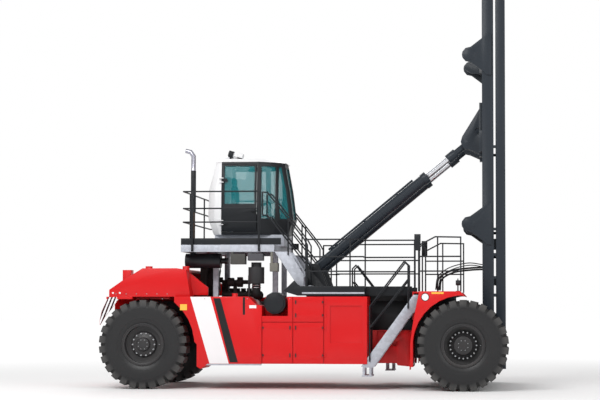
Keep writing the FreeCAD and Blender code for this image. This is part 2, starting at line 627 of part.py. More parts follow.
def main_deck():
    """The walkway between the steps and the front fenders, with a well over each ladder."""
    slab = box((DECK_REAR, -1090), (-DECK_HALF, DECK_HALF), (DECK_Z - 40, DECK_Z))
    for side, well in ((-1, WELL_X), (1, LEFT_WELL_X)):
        slab = slab.cut(box((well[0], well[1] + 1), sorted((side * WELL_Y, side * (DECK_HALF + 1))),
                            (DECK_Z - 50, DECK_Z + 1)))
    slab = slab.cut(box((-2900, -1500), (-380, 380), (DECK_Z - 50, DECK_Z + 1)))
    parts = [slab, box((-1095, -200), (-RAIL_OUTER, RAIL_OUTER), (DECK_Z - 40, DECK_Z))]
    low, high = DECK_Z - 60, DECK_Z + KICK_HEIGHT
    gusset = [(-3767, 2064), (-3532, 2294), (-3467, 2210), (DECK_REAR + 5, high), (DECK_REAR + 5, low), (-3467, low)]
    for side, well in ((-1, WELL_X), (1, LEFT_WELL_X)):
        parts.append(box((DECK_REAR, well[0]), sorted((side * DECK_HALF, side * (DECK_HALF - 10))), (low, high)))
        parts.append(box((well[0] - 10, well[0]), sorted((side * (WELL_Y - 10), side * DECK_HALF)), (low, high)))
        parts.append(box(well, sorted((side * WELL_Y, side * (WELL_Y - 10))), (low, high)))
        parts.append(plate_xz(gusset, *sorted((side * (DECK_HALF - 10), side * DECK_HALF))))
        parts.append(box((DECK_REAR + 5, -200), sorted((side * RAIL_INNER, side * RAIL_OUTER)),
                         (RAIL_TOP + SEAT, DECK_Z - 30)))
    for i in range(6):
        y = -318 + 120 * i
        parts.append(box((-2905, -1495), (y, y + 30), (DECK_Z - 40, DECK_Z)))
    return fuse(parts)


def tilt_anchors():
    """The two clevis towers that hold the tilt cylinders' lower pins."""
    towers = []
    tower = [(TILT_LOW_X - 560, DECK_Z + 5), (TILT_LOW_X - 160, TILT_LOW_Z + 60), (TILT_LOW_X - 60, TILT_LOW_Z + 130),
             (TILT_LOW_X + 90, TILT_LOW_Z + 110), (TILT_LOW_X + 150, TILT_LOW_Z - 20),
             (TILT_LOW_X + 330, DECK_Z + 5)]
    for y in (-TILT_Y, TILT_Y):
        parts = [plate_xz(tower, y + offset, y + offset + 40) for offset in (-160, 120)]
        parts.append(round_pin((TILT_LOW_X, y - 175, TILT_LOW_Z), (TILT_LOW_X, y + 175, TILT_LOW_Z), TILT_PIN_R))
        parts.append(box((TILT_LOW_X - 560, TILT_LOW_X + 330), (y - 170, y + 170), (DECK_Z + SEAT, DECK_Z + 30)))
        towers.append(fuse(parts))
    return group(towers)


CAB_BASE_X = (-5420, -3900)


def cab_platform():
    """The raised platform that carries the cab: channel frame, tread plate and legs."""
    x = (PLATFORM_REAR, PLATFORM_FRONT)
    bottom = PLATFORM_Z - CHANNEL_DEPTH
    parts = [box(x, (-PLATFORM_HALF, PLATFORM_HALF), (PLATFORM_Z - 12, PLATFORM_Z))]
    for side in (-1, 1):
        web = sorted((side * PLATFORM_HALF, side * (PLATFORM_HALF - 12)))
        lip = sorted((side * PLATFORM_HALF, side * (PLATFORM_HALF - 70)))
        parts.append(box(x, web, (bottom, PLATFORM_Z)))
        parts.append(box(x, lip, (bottom, bottom + 12)))
    for x0 in (PLATFORM_REAR, -5400, -4700, PLATFORM_FRONT - 12):
        parts.append(box((x0, x0 + 12), (-PLATFORM_HALF, PLATFORM_HALF), (bottom, PLATFORM_Z - 5)))
    parts.append(box(CAB_BASE_X, (-620, 620), (PLATFORM_Z - 5, CAB_FLOOR_Z - SEAT)))
    for side in (-1, 1):
        for x0 in (-5425, -4130):
            leg = sorted((side * (RAIL_INNER + 5), side * (RAIL_OUTER - 5)))
            parts.append(box((x0, x0 + 110), leg, (RAIL_TOP + SEAT, PLATFORM_Z - 5)))
            parts.append(box((x0 - 5, x0 + 115), sorted((side * RAIL_INNER, side * RAIL_OUTER)),
                             (RAIL_TOP + SEAT, RAIL_TOP + 20)))
    return fuse(parts)


# columns: x, z of a stair string's outline
STAIR_STRING = ((-3980, 2900), (-3660, 2900), (-3362, 2406), (-3362, DECK_Z + SEAT), (-3480, DECK_Z + SEAT),
                (-3512, 2222))
STAIR_Y = (860, 1480)


def cab_stairs():
    """Steps from the deck up to the cab platform on both sides."""
    flights = []
    for side in (-1, 1):
        parts = [plate_xz(STAIR_STRING, *sorted((side * y, side * (y + 12)))) for y in STAIR_Y]
        for i in range(4):
            z = 2760 - 190 * i
            x = -3960 + (2900 - z) * 468 / 678
            parts.append(box((x, x + 250), sorted((side * (STAIR_Y[0] + 5), side * (STAIR_Y[1] + 5))), (z - 30, z)))
        flights.append(fuse(parts))
    return group(flights)


# columns: x, z of a ladder string's outline
STRING_OUTLINE = ((-1035, 1985), (-905, 1985), (-985, 1640), (-1056, 1606), (-1868, 473), (-2035, 473),
                  (-2126, 494), (-2089, BODY_BOTTOM - SEAT), (LOCKER_FRONT + SEAT, BODY_BOTTOM - SEAT),
                  (LOCKER_FRONT + SEAT, 667))
STRING_Y = (DECK_HALF - 490, DECK_HALF + 20)
LADDER_SLOPE = (2126 - 1035) / (1985 - 494)
LADDER_MIDDLE = -1860


def ladder(side):
    """An access ladder: two strings, flat treads and a hanging bottom step."""
    parts = []
    y0, y1 = side * STRING_Y[0], side * (STRING_Y[1] + 10)
    for y in STRING_Y:
        parts.append(plate_xz(STRING_OUTLINE, *sorted((side * y, side * (y + 10)))))
    for i in range(5):
        z = 1740 - 260 * i
        x = -1035 - (1985 - z) * LADDER_SLOPE
        parts.append(box((x + 25, x + 245), sorted((y0, y1)), (z - 18, z)))
    for y in STRING_Y:
        for x in (-2095, -1955):
            parts.append(box((x, x + 45), sorted((side * (y + 1), side * (y + 9))), (290, 500)))
    parts.append(box((-2110, -1895), sorted((y0, y1)), (285, 312)))
    for z in (1330, 1600):
        x = -1035 - (1985 - z) * LADDER_SLOPE
        parts.append(box((x + 90, x + 190), sorted((side * (RAIL_OUTER + SEAT), y0 + side)), (z - 60, z - 20)))
    shape = fuse(parts)
    if side > 0:
        shape = shape.mirror(V(LADDER_MIDDLE, 0, 0), V(1, 0, 0))
    return shape


RAIL_HEIGHTS = (3149, 2785, 2480)
FENDER_TOP = 2057


def deck_rails():
    """Handrails along both edges of the deck, round the ladder wells and on the front fenders."""
    top, middle, low = RAIL_HEIGHTS
    foot = DECK_Z + SEAT
    fender = FENDER_TOP + SEAT
    solids = []
    for side, well in ((-1, WELL_X[0] - 30), (1, LEFT_WELL_X[0] - 30)):
        out_y, in_y = side * RAIL_LINE, side * (WELL_Y - 30)
        first, last = -3290, -1040
        post = -2363 if side < 0 else -3110
        parts = [pipe([(first, out_y, foot), (first, out_y, top), (well, out_y, top), (well, in_y, top),
                       (last, in_y, top), (last, in_y, fender)])]
        for z in (middle, low):
            parts.append(pipe([(first, out_y, z), (well, out_y, z), (well, in_y, z), (last, in_y, z)]))
        parts.append(pipe([(post, out_y, foot), (post, out_y, top)]))
        parts.append(pipe([(well, in_y, foot), (well, in_y, top)]))
        solids.append(fuse(parts))
        y = side * DECK_HALF
        guard = pipe([(-885, y, 3035), (-580, y, 3195), (-50, y, 3185), (-50, y, fender)])
        parts = [guard, pipe([(-530, y, fender), (-530, y, 3190)])]
        parts += [pipe([(-885, y, z), (-50, y, z)]) for z in (middle, low)]
        parts += [pipe([(x, y, fender), (x, y, 2920)]) for x in (-1000, -925)]
        parts.append(box((-1015, -885), (y - 35, y + 35), (2910, 3250)))
        parts.append(pipe([(-925, y, 2785), (-885, y, 2785)]))
        parts.append(pipe([(-925, y, 2480), (-885, y, 2480)]))
        solids.append(fuse(parts))
    return group(solids)


PLATFORM_RAIL_HEIGHTS = (PLATFORM_Z + 1130, PLATFORM_Z + 770, PLATFORM_Z + 480)
RAIL_SIDE = RAIL_PIPE * CORNER_REACH + SEAT
STAIR_RAIL_Y = (STAIR_Y[0] - RAIL_SIDE, STAIR_Y[1] + 12 + RAIL_SIDE)


def platform_rails():
    """Handrails and kick boards round the cab platform, and handrails down both flights of steps."""
    top, middle, low = PLATFORM_RAIL_HEIGHTS
    y = PLATFORM_HALF + POST_PIPE * CORNER_REACH + SEAT
    x0, x1 = PLATFORM_REAR + 60, -4310
    foot = PLATFORM_Z - CHANNEL_DEPTH + 10
    parts = []
    for z in (top, middle, low):
        parts.append(pipe([(x1, -y, z), (x0, -y, z), (x0, y, z), (x1, y, z)]))
    for side in (-1, 1):
        parts += [pipe([(x, side * y, foot), (x, side * y, top)], POST_PIPE) for x in (-5740, x1)]
        parts.append(pipe([(x0, side * 800, PLATFORM_Z + SEAT), (x0, side * 800, top)]))
    rails = [fuse(parts)]
    kick_z = (PLATFORM_Z + SEAT, PLATFORM_Z + KICK_HEIGHT)
    outside = PLATFORM_HALF - SEAT
    board = box((PLATFORM_REAR, PLATFORM_REAR + 10), (-outside, outside), kick_z)
    sides = both(box((PLATFORM_REAR, PLATFORM_FRONT + 145), (-outside, 10 - outside), kick_z))
    rails.append(fuse([board] + sides))
    for side in (-1, 1):
        for yy in STAIR_RAIL_Y:
            y = side * yy
            stair = [pipe([(-4239, y, PLATFORM_Z + 620), (-4239, y, 4159), (-4133, y, 4159), (-3351, y, 3165),
                           (-3281, y, 3040), (-3281, y, 2150)]),
                     pipe([(-4239, y, PLATFORM_Z + 620), (-4130, y, PLATFORM_Z + 620), (-3281, y, 2600)]),
                     pipe([(-3690, y, 3595), (-3690, y, 2830)])]
            rails.append(fuse(stair))
    return group(rails)


def ladder_rails():
    """Handrails that rise from each ladder's strings."""
    rails = []
    for y in (STRING_Y[0] - RAIL_SIDE, STRING_Y[1] + 10 + RAIL_SIDE):
        outer = pipe([(-1945, y, 600), (-1945, y, 1745), (-1225, y, 2680), (-1145, y, 2600), (-1145, y, 1700)])
        middle = pipe([(-1945, y, 1300), (-1145, y, 2310)])
        rail = fuse([outer, middle])
        rails.append(mirror(rail))
        rails.append(rail.mirror(V(LADDER_MIDDLE, 0, 0), V(1, 0, 0)))
    return group(rails)


# Cab

# columns: height, rear X, front X, half width
CAB_SECTIONS = ((CAB_FLOOR_Z, -5441, -3850, 770), (3650, -5562, -3740, 800),
                (4270, -5545, -3820, 795), (4880, -5395, -3930, 745))
DOOR_X = (-5240, -4470)


def cab_ring(z, rear, front, half, inset):
    """One plan section of the cab, moved inwards by inset."""
    rear, front, half = rear + inset, front - inset, half - inset
    corner = DOOR_X[1] + 25 - inset * 0.4
    pts = [(rear, half - 160), (rear + 160, half), (corner, half),
           (corner + 0.56 * (front - corner), half * 0.76), (front, half * 0.42)]
    return polygon([V(x, -y, z) for x, y in pts] + [V(x, y, z) for x, y in reversed(pts)])


def cab_body(inset, low=0.0, high=0.0):
    """The cab's outer form, or a smaller one inside it."""
    rings = []
    last = len(CAB_SECTIONS) - 1
    for i, (z, rear, front, half) in enumerate(CAB_SECTIONS):
        z += low if i == 0 else (-high if i == last else 0)
        rings.append(cab_ring(z, rear, front, half, inset))
    return Part.makeLoft(rings, True, True)


def cab_windows(margin=0.0):
    """Prisms through each window of the cab, grown by margin."""
    m = margin
    low, high = 3650 - m, 4790 + m
    cuts = {
        "left_side": box((-5190 - m, -4500 + m), (300, 1200), (low + 50, high)),
        "rear": box((-6000, -5100), (-480 - m, 480 + m), (3960 - m, 4760 + m)),
        "windscreen": box((-4200, -3500), (-295 - m, 295 + m), (low, high)),
    }
    for side, name in ((-1, "right"), (1, "left")):
        cuts[name + "_quarter"] = box((-4385 - m, -4095 + m), sorted((side * 350, side * 1200)), (low, high))
        cuts[name + "_corner"] = box((-4040 - m, -3500), sorted((side * (375 - m), side * (560 + m))), (low, high))
    return cuts


DOOR_LATCH_RUN = 16
CAB_SILL_Z = CAB_FLOOR_Z + 60


def cab_door_prism(gap_hinge=0, gap_latch=0):
    """The door's opening in the cab's right side, or the leaf's own outline inside it."""
    return box((DOOR_X[0] + gap_hinge, DOOR_X[1] - gap_latch), (-1200, -300),
               (CAB_SILL_Z + gap_hinge, 4820 - gap_hinge))


CAB_HINGE = (DOOR_X[0] + 30, -822)
CAB_HINGE_PIN = 7
CAB_HINGES = (3560, 4480)
DOOR_GLASS = ((-5185, -4525), (3965, 4790))


def hinge_pins():
    """The cab door's pins with their ears, on the rear quarter."""
    pins = []
    x, y = CAB_HINGE
    for z in CAB_HINGES:
        pins.append(round_pin((x, y, z - 52), (x, y, z + 52), CAB_HINGE_PIN))
        for z0 in (z - 52, z + 35.5):
            pins.append(box((DOOR_X[0] - 60, x + 12), (y - 12, y + 12), (z0, z0 + 16.5)))
            pins.append(box((DOOR_X[0] - 60, DOOR_X[0] - 20), (y - 12, -760), (z0, z0 + 16.5)))
    return pins


def build_cab():
    outer = cab_body(0)
    room = cab_body(CAB_WALL, low=60, high=-1)
    shell = outer.cut(room)
    for prism in cab_windows().values():
        shell = shell.cut(prism)
    shell = shell.cut(cab_door_prism())
    seam = DOOR_X[0] - 10
    nodes["cab_shell"] = shell.common(box((seam, -3000), (-2000, 2000), (3000, 5500)))
    quarter = fuse([shell.common(box((-7000, seam - SEAT), (-2000, 2000), (3000, 5500)))] + hinge_pins())

    pane = cab_body(CAB_WALL * 0.4).cut(cab_body(CAB_WALL * 0.4 + GLASS))
    nodes["cab_glass"] = group([pane.common(prism) for prism in cab_windows(-SEAT).values()])

    door = outer.cut(room).common(cab_door_prism(RUN, DOOR_LATCH_RUN))
    hole = box(DOOR_GLASS[0], (-1200, -300), DOOR_GLASS[1])
    handle = box((-4600, -4480), (-865, -795), (3800, 3840)).cut(box((-4590, -4490), (-850, -805), (3790, 3850)))
    barrels = []
    x, y = CAB_HINGE
    for z in CAB_HINGES:
        barrels.append(flat_bar((x, y, z - 35), (x, y, z + 35), 15))
        barrels.append(box((x, x + 90), (y, -760), (z - 35, z + 35)))
    leaf = fuse([door.cut(hole), handle] + barrels)
    for z in CAB_HINGES:
        leaf = leaf.cut(pin_hole((x, y, z - 36), (x, y, z + 36), CAB_HINGE_PIN))
    nodes["cab_door"] = leaf
    hole_in = box([DOOR_GLASS[0][0] + SEAT, DOOR_GLASS[0][1] - SEAT], (-1200, -300),
                  [DOOR_GLASS[1][0] + SEAT, DOOR_GLASS[1][1] - SEAT])
    nodes["cab_door_glass"] = pane.common(hole_in)

    z, rear, front, half = CAB_SECTIONS[-1]
    brim = cab_ring(z + SEAT, rear - 15, front + 35, half + 12, 0)
    crown = cab_ring(z + 75, rear + 90, front - 160, half - 110, 0)
    roof = Part.makeLoft([brim, crown], True, True)
    hatch = box((-4700, -4250), (-230, 230), (z + 40, z + 100))
    nodes["cab_roof"] = group([fuse([roof, hatch]), quarter])

    unit = box((-5360, -5060), (-200, 200), (z + 75 + SEAT, z + 190))
    lights = [unit]
    for s in (-1, 1):
        x, y = -5080 + 60 * s, 260 * s
        lamp = flat_bar((x - 40, y, z + 230), (x + 70, y, z + 200), 72)
        post = box((x - 20, x + 20), (y - 20, y + 20), (z + 30, z + 220))
        lights.append(fuse([lamp, post]).cut(roof))
    nodes["roof_lights"] = group(lights)

    floor = CAB_FLOOR_Z + 60 + SEAT
    parts = [box((-5060, -4560), (-260, 260), (floor + 300, floor + 430)),
             box((-5150, -5030), (-250, 250), (floor + 430, floor + 1050)),
             box((-5000, -4640), (-180, 180), (floor, floor + 300)),
             box((-5130, -5050), (-130, 130), (floor + 1050, floor + 1200))]
    for s in (-1, 1):
        parts.append(box((-4980, -4640), sorted((s * 270, s * 340)), (floor + 480, floor + 560)))
        parts.append(box((-4860, -4760), sorted((s * 255, s * 330)), (floor + 350, floor + 500)))
    nodes["operator_seat"] = fuse(parts)
    desk = [box((-4160, -3960), (-300, 300), (floor, floor + 520)),
            flat_bar((-4250, 0, floor + 250), (-4365, 0, floor + 655), 35),
            box((-4260, -4150), (-90, 90), (floor, floor + 280))]
    hub, lean = V(-4365, 0, floor + 650), V(-0.27, 0, 0.96)
    rim = flat_bar(hub, hub + lean * 26, 190).cut(flat_bar(hub - lean, hub + lean * 27, 165))
    spoke = box((-4379, -4351), (-180, 180), (floor + 650, floor + 672))
    nodes["steering_console"] = fuse(desk + [rim, spoke])


# Mast

def upright(rear, depth, side_y, flange, z0, z1):
    """One C section upright on the right side, opening inwards."""
    outline = [(-side_y, rear), (flange - side_y, rear), (flange - side_y, rear + PLATE), (PLATE - side_y, rear + PLATE),
               (PLATE - side_y, rear + depth - PLATE), (flange - side_y, rear + depth - PLATE),
               (flange - side_y, rear + depth), (-side_y, rear + depth)]
    return Part.Face(polygon([V(x, y, z0) for y, x in outline])).extrude(V(0, 0, z1 - z0))


EARS = ((7125, 136), (3500, 120))
CLEVIS_Y = ((445, 482), (638, 675))
RUNG_HEIGHTS = (5120, 3360, 2820, 2330, 1960)


def mast_outer():
    """The fixed mast stage: uprights, ties, hanger lugs, tilt clevises and the spare ears."""
    rear, front = OUTER_REAR, OUTER_REAR + OUTER_DEPTH
    parts = both(upright(rear, OUTER_DEPTH, OUTER_SIDE, OUTER_FLANGE, OUTER_BOTTOM, OUTER_TOP))
    tie_y = OUTER_SIDE - PLATE
    for z0, z1, x0, x1 in ((OUTER_BOTTOM, 560, rear, rear + 90), (3300, 3700, rear - 60, rear + 15),
                           (5050, 5500, rear - 60, rear + 15), (6950, 7300, rear - 60, rear + 15),
                           (OUTER_TOP - 350, OUTER_TOP, rear - 60, rear + 15)):
        parts.append(box((x0, x1), (-tie_y, tie_y), (z0, z1)))
    high = [(rear + 14, TILT_HIGH_Z + 850), (TILT_HIGH_X - 120, TILT_HIGH_Z + 130),
            (TILT_HIGH_X - 150, TILT_HIGH_Z + 20), (TILT_HIGH_X - 90, TILT_HIGH_Z - 120),
            (TILT_HIGH_X + 40, TILT_HIGH_Z - 150), (rear + 14, TILT_HIGH_Z - 280)]
    for side in (-1, 1):
        lug = plate_xz([(rear + 20, 420), (MAST_PIVOT_X + 110, 420), (MAST_PIVOT_X + 110, MAST_PIVOT_Z + 90),
                        (MAST_PIVOT_X + 40, MAST_PIVOT_Z + 130), (rear + 20, MAST_PIVOT_Z + 130)],
                       *sorted((side * 655, side * 727)))
        parts.append(lug)
        for z, x in EARS:
            ear = plate_xz([(rear + 100, z + 440), (rear + 30, z + 370), (x + 20, z + 165), (x - 90, z + 140),
                            (x - 155, z + 60), (x - 165, z), (x - 155, z - 60), (x - 90, z - 140),
                            (x + 20, z - 165), (rear + 30, z - 370), (rear + 100, z - 440),
                            (rear + 200, z - 440), (rear + 200, z + 440)],
                           *sorted((side * OUTER_SIDE, side * (OUTER_SIDE + 40))))
            parts.append(ear)
            parts.append(boss_y(x, z, *sorted((side * 700, side * (OUTER_SIDE + 46))), 115))
            parts.append(plate_xz([(rear + 20, z + 170), (x, z + 140), (x - 140, z + 40), (x - 140, z - 40),
                                   (x, z - 140), (rear + 20, z - 170)], *sorted((side * 700, side * 740))))
        for y0, y1 in CLEVIS_Y:
            cheek = plate_xz(high, *sorted((side * y0, side * y1)))
            window = boss_y(rear - 80, TILT_HIGH_Z + 250, *sorted((side * (y0 - 5), side * (y1 + 5))), 70)
            parts.append(cheek.cut(window))
        parts.append(boss_y(TILT_HIGH_X, TILT_HIGH_Z, *sorted((side * 440, side * 680)), TILT_PIN_R - 10))
        parts.append(box((rear - 60, rear + 15), sorted((side * 440, side * 680)),
                         (TILT_HIGH_Z - 300, TILT_HIGH_Z + 860)))
        for z in RUNG_HEIGHTS:
            parts.append(box((front - 5, front + MAST_GAP - SEAT),
                             sorted((side * (OUTER_SIDE - 15), side * (OUTER_SIDE - 55))), (z, z + 60)))
        parts.append(box((rear + PLATE - 5, rear + 130), sorted((side * 800, side * 830)),
                         (OUTER_TOP - 340, OUTER_TOP - 140)))
    bores = [pin_hole((MAST_PIVOT_X, y, MAST_PIVOT_Z), (MAST_PIVOT_X, y + 80, MAST_PIVOT_Z), MAST_PIN_R)
             for y in (-730, 650)]
    return fuse(parts).cut(bores[0]).cut(bores[1])


INNER_REAR = OUTER_REAR + OUTER_DEPTH + MAST_GAP
TIE_DEPTH = 22


def mast_inner():
    """The rising mast stage, guided by rollers inside the outer uprights."""
    rear = INNER_REAR
    parts = both(upright(rear, INNER_DEPTH, INNER_SIDE, INNER_FLANGE, INNER_BOTTOM, INNER_TOP))
    tie_y = INNER_SIDE - PLATE
    parts.append(box((rear, HEAD_X + 60), (-tie_y, tie_y), (INNER_BOTTOM, 760)))
    for z0, z1 in ((4400, 4700), (INNER_TOP - 500, INNER_TOP - 380)):
        parts.append(box((rear, rear + TIE_DEPTH), (-tie_y, tie_y), (z0, z1)))
    parts.append(box((rear - 330, rear + 40), (-tie_y, tie_y), (INNER_TOP - 120, INNER_TOP)))
    roller_x = OUTER_REAR + OUTER_DEPTH / 2
    gauge = OUTER_DEPTH / 2 - PLATE - SEAT
    inside = OUTER_SIDE - OUTER_FLANGE - 6
    for side in (-1, 1):
        for z in (1500, 2300, 3100):
            parts.append(box((roller_x - 70, rear + 20), sorted((side * (inside - 34), side * inside)),
                             (z - 90, z + 90)))
            parts.append(boss_y(roller_x, z, *sorted((side * (inside - 10), side * (OUTER_SIDE - PLATE - 5))), gauge))
            parts.append(box((rear, rear + 30), sorted((side * (inside - 34), side * (INNER_SIDE - 5))),
                             (z - 90, z + 90)))
    return fuse(parts)


LIFT_Y = 490
LIFT_X = 500
LIFT_BARREL_R = 86
LIFT_ROD_R = 58
LIFT_BARREL_TOP = INNER_TOP - 650


def lift_barrels():
    """Main lift cylinders behind the uprights, standing on the outer stage's foot."""
    parts = []
    for side in (-1, 1):
        y = side * LIFT_Y
        barrel = flat_bar((LIFT_X, y, 560 + SEAT), (LIFT_X, y, LIFT_BARREL_TOP), LIFT_BARREL_R)
        cap = flat_bar((LIFT_X, y, LIFT_BARREL_TOP - 120), (LIFT_X, y, LIFT_BARREL_TOP), LIFT_BARREL_R + 14)
        foot = box((OUTER_REAR + 15 + SEAT, LIFT_X + 60), (y - 60, y + 60), (5200, 5260))
        bore = flat_bar((LIFT_X, y, 3400), (LIFT_X, y, LIFT_BARREL_TOP + 5), LIFT_ROD_R + SEAT)
        parts.append(fuse([barrel, cap, foot]).cut(bore))
    return group(parts)


def lift_rods():
    """The main lift cylinders' rods, under the inner stage's top tie."""
    top = INNER_TOP - 120 - SEAT
    return group([flat_bar((LIFT_X, y, 3500), (LIFT_X, y, top), LIFT_ROD_R) for y in (-LIFT_Y, LIFT_Y)])


CHAIN_Y = 360
HEAD_X = INNER_REAR + 130
HEAD_Z = INNER_TOP - 770
FREE_BARREL_R = 70
FREE_ROD_R = 42
FREE_BARREL_TOP = HEAD_Z - HEAD_TRAVEL - 480


def free_lift_barrels():
    """The pair of cylinders on the inner stage that raise the chain head."""
    parts = []
    for side in (-1, 1):
        y = side * CHAIN_Y
        barrel = flat_bar((HEAD_X, y, 760 + SEAT), (HEAD_X, y, FREE_BARREL_TOP), FREE_BARREL_R)
        clip = box((INNER_REAR + TIE_DEPTH + SEAT, HEAD_X), (y - 40, y + 40), (4500, 4560))
        bore = flat_bar((HEAD_X, y, FREE_BARREL_TOP - HEAD_TRAVEL - 480), (HEAD_X, y, FREE_BARREL_TOP + 5),
                   FREE_ROD_R + SEAT)
        parts.append(fuse([barrel, clip]).cut(bore))
    return group(parts)


def chain_head():
    """Free-lift rods with the sheave head that runs up the inner stage."""
    parts = [box((HEAD_X - 40, HEAD_X + 40), (-440, 440), (HEAD_Z - 110, HEAD_Z - 40))]
    for side in (-1, 1):
        y = side * CHAIN_Y
        parts.append(flat_bar((HEAD_X, y, FREE_BARREL_TOP - 400), (HEAD_X, y, HEAD_Z - 80), FREE_ROD_R))
        parts.append(boss_y(HEAD_X, HEAD_Z, y - 45, y + 45, 62))
        parts.append(boss_y(HEAD_X, HEAD_Z, y - 95, y + 95, 25))
        for y0 in (y - 80, y + 50):
            parts.append(box((HEAD_X - 35, HEAD_X + 35), (y0, y0 + 30), (HEAD_Z - 50, HEAD_Z + 40)))
    return fuse(parts)


# Carriage and spreader

CARRIAGE_REAR = INNER_REAR + INNER_DEPTH + 22
CARRIAGE_Z = (BEAM_Z - 700, BEAM_Z + 800)


def carriage():
    """The lifting carriage with its side plates, rollers and cross bars."""
    x0 = CARRIAGE_REAR
    z0, z1 = CARRIAGE_Z
    parts = []
    roller_x = INNER_REAR + INNER_DEPTH / 2
    gauge = INNER_DEPTH / 2 - PLATE - SEAT
    inside = INNER_SIDE - INNER_FLANGE - 6
    for side in (-1, 1):
        parts.append(box((roller_x - 50, x0 + 90), sorted((side * (inside - 36), side * inside)), (z0, z1)))
        for z in (z0 + 160, (z0 + z1) / 2, z1 - 160):
            parts.append(boss_y(roller_x, z, *sorted((side * (inside - 10), side * (INNER_SIDE - PLATE - 5))), gauge))
    for z, tall in ((z0, 180), (z0 + 660, 160), (z1 - 200, 200)):
        parts.append(box((x0, x0 + 90), (-inside, inside), (z, z + tall)))
    parts.append(box((x0 + 90, x0 + 130), (-inside - 60, inside + 60), (z0 + 20, z0 + 140)))
    parts.append(box((x0 + 90, x0 + 130), (-inside - 60, inside + 60), (z1 - 160, z1 - 40)))
    return fuse(parts)


SHIFT_X = CARRIAGE_REAR + 130


def spreader_frame():
    """Side-shift frame hooked on the carriage, and the two open beams that hold the arms."""
    z0, z1 = CARRIAGE_Z
    x0 = SHIFT_X + SEAT
    parts = []
    for z in (z0 + 20, z1 - 160):
        parts.append(box((x0, x0 + 60), (-760, 760), (z - 60, z + 180)))
        for zz in (z - 60, z + 120.5):
            parts.append(box((x0 - 39.7, x0 + 5), (-600, 600), (zz, zz + 59)))
    rear_x = SPREADER_X - BEAM_PITCH / 2 - BEAM_WIDTH / 2
    for side in (-1, 1):
        parts.append(box((x0, x0 + 60), sorted((side * 560, side * 620)), (z0, z1)))
        parts.append(plate_xz([(x0 + 50, z0 + 40), (x0 + 50, z1), (x0 + 260, z1), (rear_x + 20, BEAM_Z + 260),
                               (rear_x + 20, BEAM_Z - 200), (x0 + 300, z0 + 40)], *sorted((side * 560, side * 600))))
    beams = (SPREADER_X - BEAM_PITCH / 2, SPREADER_X + BEAM_PITCH / 2)
    for x in beams:
        parts.append(box((x - BEAM_WIDTH / 2, x + BEAM_WIDTH / 2), (-BEAM_HALF, BEAM_HALF),
                         (BEAM_Z - BEAM_HEIGHT / 2, BEAM_Z + BEAM_HEIGHT / 2)))
    for y in (-2500, -900, 900, 2500):
        for z in (BEAM_Z - BEAM_HEIGHT / 2 - 30, BEAM_Z + BEAM_HEIGHT / 2 - 5):
            parts.append(box((rear_x + 20, beams[1]), (y - 60, y + 60), (z, z + 35)))
    frame = fuse(parts)
    half_w, half_h = BEAM_WIDTH / 2 - BEAM_WALL, BEAM_HEIGHT / 2 - BEAM_WALL
    pads = []
    for x in beams:
        frame = frame.cut(box((x - half_w, x + half_w), (-BEAM_HALF - 1, BEAM_HALF + 1),
                              (BEAM_Z - half_h, BEAM_Z + half_h)))
        for y in (-2600, 2520):
            z = BEAM_Z - BEAM_HEIGHT / 2 + BEAM_WALL
            pads.append(box((x - 100, x + 100), (y, y + 80), (z - 4, z + 10 - SEAT)))
    return fuse([frame] + pads)


def spreader_arm(side):
    """One telescopic arm: its boom, its end beam and the two corner twistlocks."""
    x = SPREADER_X + side * BEAM_PITCH / 2
    half_w = BEAM_WIDTH / 2 - BEAM_WALL - 10
    half_h = BEAM_HEIGHT / 2 - BEAM_WALL - 10
    end_y = side * LOCK_Y / 2
    across = sorted((end_y - side * 100, end_y + side * 100))
    reach = LOCK_X / 2
    boom_out = box((x - half_w, x + half_w), sorted((side * -2450, end_y)), (BEAM_Z - half_h, BEAM_Z + half_h))
    boom_in = box((x - half_w + 14, x + half_w - 14), sorted((side * -2460, end_y - side * 80)),
                  (BEAM_Z - half_h + 14, BEAM_Z + half_h - 14))
    parts = [boom_out.cut(boom_in),
             box((SPREADER_X - reach - 90, SPREADER_X + reach + 90), across, (BEAM_Z - 330, BEAM_Z - 60)),
             box((x - half_w, x + half_w), across, (BEAM_Z - 200, BEAM_Z + half_h))]
    for out in (-1, 1):
        px = SPREADER_X + out * reach
        parts.append(box((px - 85, px + 85), sorted((end_y - side * 85, end_y + side * 85)), (BEAM_Z - 520, BEAM_Z - 325)))
        parts.append(flat_bar((px, end_y, BEAM_Z - 575), (px, end_y, BEAM_Z - 515), 42))
        parts.append(box((px - 52, px + 52), (end_y - 28, end_y + 28), (BEAM_Z - 640, BEAM_Z - 570)))
        guide = plate_xz([(px + out * 60, BEAM_Z - 330), (px + out * 110, BEAM_Z - 330),
                          (px + out * GUIDE_REACH, BEAM_Z - 560), (px + out * (GUIDE_REACH - 20), BEAM_Z - 570),
                          (px + out * 90, BEAM_Z - 450)], *sorted((end_y - side * 70, end_y + side * 70)))
        parts.append(guide)
    return fuse(parts)


# Tilt cylinders

def tilt_span():
    return math.hypot(TILT_HIGH_X - TILT_LOW_X, TILT_HIGH_Z - TILT_LOW_Z)


def along_tilt(distance, y):
    """A point on the cylinder's line, at a distance from its lower pin."""
    share = distance / tilt_span()
    return (TILT_LOW_X + (TILT_HIGH_X - TILT_LOW_X) * share, y, TILT_LOW_Z + (TILT_HIGH_Z - TILT_LOW_Z) * share)


TILT_EYE = 118


